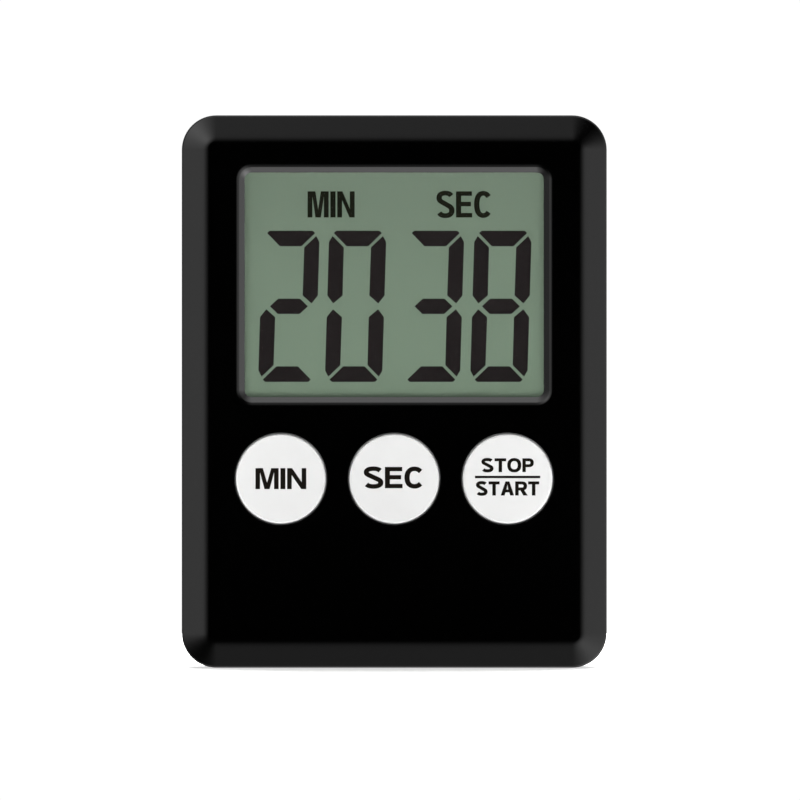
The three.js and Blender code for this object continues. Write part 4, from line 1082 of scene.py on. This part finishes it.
# Rear shell: the solid's own inside with every outside opening given a rounded rim
rearShell = {
    "rimSteps": 4,
    "standRim": 0.25,
    "doorRim": 0.22,
    "roundRim": 0.2,
    "soundRim": 0.14,
    "scoopRim": 0.45,
    "roundGrowth": 0.025,
    "seamStart": 0.1,  # behind the parting line
    "through": 0.1,  # how far past the wall a hole is cut
}
soundHoles = {"radius": 0.6, "circle": 3.0, "count": 6, "steps": 28, "deeper": 0.5}
hangingSlot = {"head": 3.5, "half": 1.6, "rise": 6.0, "aboveMagnets": 2.5}


def rimCutter(loopAt, rim, floor=None):
    # loopAt gives the opening's outline, grown by a number
    rings = [] if floor is None else [(loopAt(0), floor)]
    arc = arcPoints(rim, backDepth - rim, rim, 180, 90, rearShell["rimSteps"])
    rings += [(loopAt(grow), depth) for grow, depth in arc]
    rings.append((loopAt(rim), backDepth + 1))
    return loftBody(rings)


def roundCutter(x, z, radius, rim, floor, steps=72):
    grown = radius + rearShell["roundGrowth"]
    return rimCutter(lambda grow: circleLoop(x, z, grown + grow, steps), rim, floor)


def standCutter():
    gap, heel = standShape["sideGap"], standShape["heel"]
    return rimCutter(lambda grow: standLoop(gap + grow, heel + grow), rearShell["standRim"])


def scoopCutter(shape, z):
    radius, depth = shape["scoop"]
    return roundCutter(0, z, radius, rearShell["scoopRim"], backDepth - depth)


def seamCutter():
    corner, edge = frontShell["cornerRadius"], frontShell["seamEdge"]
    low = frontShell["parting"] + rearShell["seamStart"]
    bend = frontShell["seamBend"]
    steps = [(edge, low - 1), (edge, low), (edge * bend, low + edge * (1 - bend)),
             (-0.02, low + edge + 0.2)]
    core = loftBody([(caseLoop(inset, corner - inset), depth) for inset, depth in steps])
    around = caseLoop(-2, corner + 2)
    return bodyOf(carve("seam_ring", prism(around, low - 0.05, low + edge), [], [core]))


def hangingCutters(floor):
    rim, neck = rearShell["roundRim"], hangingSlot["half"]
    low = middle("magnet_left").z + hangingSlot["aboveMagnets"]
    high = low + hangingSlot["rise"]
    head = roundCutter(0, low, hangingSlot["head"], rim, floor)
    slot = rimCutter(lambda grow: [(-neck - grow, low), (neck + grow, low)]
                     + arcPoints(0, high, neck + grow, 0, 180, 24), rim, floor)
    return [head, slot]


def soundCutters(floor):
    z = middle("sounder_plate").z
    hole = roundCutter(0, 0, soundHoles["radius"], rearShell["soundRim"], floor, soundHoles["steps"])
    centre = hole.copy()
    centre.transform(Matrix.Translation((0, 0, z)))
    ring = placed("sound_ring", hole, ringTree, Count=soundHoles["count"],
                  Radius=soundHoles["circle"], Start=(0, 0, z))
    return [bodyOf(ring), centre]


def buildRearCase():
    rim = rearShell["roundRim"]
    wallInside = backDepth - frontShell["wall"] - rearShell["through"]
    cuts = [standCutter(), rimCutter(doorOpening, rearShell["doorRim"]), seamCutter()]
    cuts.append(scoopCutter(standShape, standHigh.z))
    cuts.append(scoopCutter(doorShape, doorHigh.z + doorShape["latchClearance"]))
    for node in magnetNodes:
        low, high = span(node)
        radius = (high.x - low.x) / 2 + magnetShape["pocketGap"]
        cuts.append(roundCutter(middle(node).x, middle(node).z, radius, rim, low.y))
    for node in screwRows[0] + screwRows[1]:
        seat = span(node)[1].y - screwShape["headHeight"]
        radius = screwShape["head"] + screwShape["clearance"]
        cuts.append(roundCutter(middle(node).x, middle(node).z, radius, rim, seat))
    cuts += hangingCutters(wallInside) + soundCutters(wallInside - soundHoles["deeper"])
    piece = carve("rear_shell", cadCopy("rear_case"), [], cuts, finish["caseSatin"])
    finishMesh(piece, "case", "rear_case", slot="case_satin", smoothDeg=28)


buildRearCase()
print("rear shell built")
buildStand()
buildDoor()
print("stand and door built")
buildMagnets()
buildScrews()
print("magnets and screws built")

cellShape = {
    "nubHeight": 1.2,
    "nubRadius": 1.9,
    "nubEdge": 0.3,
    "shoulderDrop": 0.15,
    "shoulderStart": 2.3,
    "edge": 0.5,
    "wrap": 0.06,  # the wrap lies this far inside the crimps at both ends
    "topCrimp": (1.4, 1.5),  # from and to, below the shoulder
    "footCrimp": (0.6, 0.5),  # from and to, above the foot
    "footEdge": (0.25, 0.08),
    "footRing": (0.9, 1.2),
    "footDish": 0.12,
}


def cellProfile(low, high, radius):
    # radius and place along the cell, from the nub at its high end to the foot
    nub, edge, wrapped = cellShape["nubRadius"], cellShape["edge"], radius - cellShape["wrap"]
    shoulder = high - cellShape["nubHeight"]
    top = shoulder - cellShape["shoulderDrop"]
    topFrom, topTo = cellShape["topCrimp"]
    footFrom, footTo = cellShape["footCrimp"]
    edgeIn, edgeUp = cellShape["footEdge"]
    ringOut, ringIn = cellShape["footRing"]
    dish = low + cellShape["footDish"]
    profile = [(0, high), (nub - cellShape["nubEdge"], high), (nub, high - cellShape["nubEdge"]),
               (nub, shoulder), (cellShape["shoulderStart"], top), (radius - edge, top)]
    profile += arcPoints(radius - edge, top - edge, edge, 72, 0, 4)
    profile += [(radius, shoulder - topFrom), (wrapped, shoulder - topTo), (wrapped, low + footFrom),
                (radius, low + footTo), (radius - edgeIn, low + edgeUp), (radius - ringOut, low),
                (radius - ringIn, dish), (0, dish)]
    return profile


def buildCell():
    low, high = span("battery_cell")
    mid = middle("battery_cell")
    profile = cellProfile(low.x, high.x, (high.z - low.z) / 2)
    if middle("battery_spring").x > mid.x:
        profile = [(radius, low.x + high.x - along) for radius, along in profile]
    body = turnedBody(profile, 0, 0)
    for vert in body.verts:
        x, depth, z = vert.co
        vert.co = (depth, mid.y + x, mid.z + z)
    finishMesh(objectOf("battery_body", faceOutward(body), finish["cellWrap"]), "case",
               "battery_cell", slot="cell_wrap")


buildCell()
print("battery built")

# Keypad: the sheet and its domes stay with the case, each dome cut out of the sheet as a piece of its own
domeShape = {"cutRadius": 4.75, "split": 0.01, "travel": 0.8}
sheetBox = {"x": (-40, 40), "z": (-10, 90)}  # wider than the sheet


def domeCutter(name, radius, low, high):
    return prism(circleLoop(middle(name).x, buttonZ, radius, 72), low, high)


def buildKeypad():
    low, high = span("rubber_keypad")
    radius = domeShape["cutRadius"]
    domes = [domeCutter(name, radius, low.y - 1, high.y + 1) for name in buttonNames]
    sheet = carve("keypad_sheet", cadCopy("rubber_keypad"), [], domes, finish["keypadRubber"])
    finishMesh(sheet, "case", "rubber_keypad", slot="keypad_rubber")
    for name in buttonNames:
        inside = domeCutter(name, radius - domeShape["split"], low.y - 3, high.y + 3)
        around = block(*sheetBox["x"], low.y - 2, high.y + 2, *sheetBox["z"])
        outside = carve("dome_surround", around, [], [inside])
        dome = carve("keypad_dome" + name[len("button"):], cadCopy("rubber_keypad"), [],
                     [bodyOf(outside)], finish["keypadRubber"])
        finishMesh(dome, "case", "rubber_keypad", slot="keypad_rubber")
        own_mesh(dome)


buildKeypad()
print("keypad built")

# Floor, light and camera
stageSize = {"floorRadius": 0.24, "floorTone": 0.92, "floorGlow": 0.62}


def buildFloor():
    bm = bmesh.new()
    bmesh.ops.create_circle(bm, cap_ends=True, radius=stageSize["floorRadius"], segments=96)
    material = bpy.data.materials.new("floorPale")
    material.use_nodes = True
    tone = stageSize["floorTone"]
    shader = material.node_tree.nodes["Principled BSDF"]
    for socket, value in (("Base Color", (tone, tone, tone, 1)), ("Roughness", 0.9),
                          ("Specular IOR Level", 0.1), ("Emission Color", (1, 1, 1, 1)),
                          ("Emission Strength", stageSize["floorGlow"])):
        shader.inputs[socket].default_value = value
    floor = objectOf("floor", bm, material)
    floor.visible_glossy = False


studio = {
    "ringGain": 6.0,
    # brightness round the front axis every 22.5 degrees, from the upper right through top and left
    "outerRing": [0.02, 0.02, 0.39, 0.95, 2.1, 1.15, 0.96, 0.16, 0.02,
                  0.02, 0.225, 0.7, 1.45, 0.98, 1.0, 0.16, 0.02],
    "innerRing": [0.6, 1.3, 2.45, 1.4, 0.8, 0.45, 0.42, 0.4, 0.3,
                  1.3, 2.1, 3.6, 5.9, 2.8, 1.68, 1.0, 0.6],
    "ringStartDeg": 45.0,
    "ringSplit": (73.0, 78.0),  # degrees from the front axis, as in the fades
    "ringFade": (22.0, 58.0),
    "sideFade": (86.0, 94.0),
    "sideTone": 0.22,
    "rearFade": (118.0, 150.0),
    "rearTone": (0.1, 0.8),  # low down and high up
    "rearHeights": (-0.85, 0.5),
    "backdrop": 1.02,
    "fill": [  # place, size, watts
        ("fillFront", (0.0, -1.3, 0.055), 0.3, 6.2),
        ("fillTop", (0.0, 0.62, 1.2), 1.0, 45.0),
        ("fillBack", (0.25, 1.1, 0.65), 0.7, 22.0),
    ],
}


def fillLight(name, place, size, watts):
    data = bpy.data.lights.new(name, "AREA")
    data.shape = "RECTANGLE"
    data.size = data.size_y = size
    data.energy = watts
    lamp = bpy.data.objects.new(name, data)
    bpy.context.scene.collection.objects.link(lamp)
    aim = Vector((0, faceY, caseTall * mm / 2))
    lamp.location = place
    lamp.rotation_euler = (aim - Vector(place)).to_track_quat("-Z", "Y").to_euler()
    lamp.visible_camera = False
    lamp.visible_glossy = False


def ringTones(tree, around, tones):
    ramp = addNode(tree, "ShaderNodeValToRGB", {"Fac": around})
    ramp.color_ramp.interpolation = "B_SPLINE"
    stops = ramp.color_ramp.elements
    while len(stops) < len(tones):
        stops.new(len(stops) / len(tones))
    for i, tone in enumerate(tones):
        stops[i].position = i / (len(tones) - 1)
        stops[i].color = (*[tone / studio["ringGain"]] * 3, 1)
    return ramp.outputs["Color"]


def smoothStep(tree, value, limits, results=(0.0, 1.0)):
    step = addNode(tree, "ShaderNodeMapRange",
                   {"Value": value, "From Min": limits[0], "From Max": limits[1],
                    "To Min": results[0], "To Max": results[1]}, interpolation_type="SMOOTHSTEP")
    return step.outputs["Result"]


def buildWorld():
    # two rings of soft light round the front axis and an even tone behind; plain white to the camera
    world = bpy.data.worlds.new("studioWorld")
    bpy.context.scene.world = world
    world.use_nodes = True
    tree = world.node_tree
    gain = studio["ringGain"]
    way = tree.nodes.new("ShaderNodeTexCoord").outputs["Generated"]
    parts = addNode(tree, "ShaderNodeSeparateXYZ", {"Vector": way}).outputs
    polar = mathOf(tree, "ARCCOSINE", mathOf(tree, "MULTIPLY", parts["Y"], -1.0))
    facing = addNode(tree, "ShaderNodeCombineXYZ", {"X": parts["X"], "Y": parts["Z"]})
    turn = math.radians(-180 - studio["ringStartDeg"])
    turned = addNode(tree, "ShaderNodeMapping",
                     {"Vector": facing.outputs["Vector"], "Rotation": (0, 0, turn)})
    around = addNode(tree, "ShaderNodeTexGradient", {"Vector": turned.outputs["Vector"]},
                     gradient_type="RADIAL").outputs["Fac"]
    fades = {}
    for name in ("ringSplit", "ringFade", "sideFade", "rearFade"):
        fades[name] = smoothStep(tree, polar, [math.radians(limit) for limit in studio[name]])
    outer, inner = [ringTones(tree, around, studio[name]) for name in ("outerRing", "innerRing")]
    rings = mixColors(tree, fades["ringSplit"], outer, inner)
    dimmed = addNode(tree, "ShaderNodeVectorMath",
                     {0: rings.outputs["Result"], "Scale": fades["ringFade"]}, operation="SCALE")
    sideColor = (*[studio["sideTone"] / gain] * 3, 1)
    sides = mixColors(tree, fades["sideFade"], dimmed.outputs["Vector"], sideColor)
    rear = smoothStep(tree, parts["Z"], studio["rearHeights"],
                      [tone / gain for tone in studio["rearTone"]])
    whole = mixColors(tree, fades["rearFade"], sides.outputs["Result"], rear)
    rays = tree.nodes.new("ShaderNodeLightPath").outputs
    seen = mixColors(tree, rays["Is Camera Ray"], whole.outputs["Result"], (1, 1, 1, 1))
    glossy = mathOf(tree, "MULTIPLY", rays["Is Glossy Ray"], gain)
    level = mathOf(tree, "MULTIPLY_ADD", rays["Is Camera Ray"], studio["backdrop"], glossy)
    background = tree.nodes["Background"]
    tree.links.new(seen.outputs["Result"], background.inputs["Color"])
    tree.links.new(level, background.inputs["Strength"])


view = {"lens": 480.0, "sensor": 36.0, "frameWidth": 122.15, "shiftX": 0.88, "rise": 40.95}


def buildCamera():
    data = bpy.data.cameras.new("camera")
    data.lens = view["lens"]
    data.sensor_width = view["sensor"]
    data.clip_start = 0.01
    camera = bpy.data.objects.new("camera", data)
    scene = bpy.context.scene
    scene.collection.objects.link(camera)
    away = view["lens"] / view["sensor"] * view["frameWidth"] * mm
    camera.location = (view["shiftX"] * mm, faceY - away, view["rise"] * mm)
    camera.rotation_euler = (math.radians(90), 0, 0)
    scene.camera = camera
    scene.view_settings.view_transform = "Standard"
    scene.view_settings.look = "None"


buildFloor()
for fill in studio["fill"]:
    fillLight(*fill)
buildWorld()
buildCamera()
print("stage built")

# Pieces that keep their CAD shape, by the finish they get
carried = {
    "sheetGlass": ["lcd_front_glass", "lcd_rear_glass"],
    "displayFilm": ["lcd_reflector"],
    "keypadRubber": ["zebra_strip"],
    "carbonRubber": ["carbon_pill_min", "carbon_pill_sec", "carbon_pill_start_stop"],
    "boardGreen": ["circuit_board"],
    "resinBlack": ["chip_blob", "buzzer_inductor", "driver_transistor"],
    "bodyTan": ["capacitor_small_left", "capacitor_small_right", "resistor_upper", "resistor_lower"],
    "screwNickel": ["quartz_crystal", "capacitor_can", "negative_contact", "positive_contact",
                    "battery_spring", "board_screw_lower_left", "board_screw_lower_right",
                    "board_screw_upper_left", "board_screw_upper_right"],
    "leadBlack": ["battery_lead_negative", "sounder_lead_black"],
    "leadRed": ["battery_lead_positive", "sounder_lead_red"],
    "soundBrass": ["sounder_plate"],
    "soundCeramic": ["sounder_ceramic"],
}
for name, carriedNodes in carried.items():
    for node in carriedNodes:
        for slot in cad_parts[node].material_slots:
            slot.material = finish[name]
print("carried-over pieces finished:", sum(len(group) for group in carried.values()))
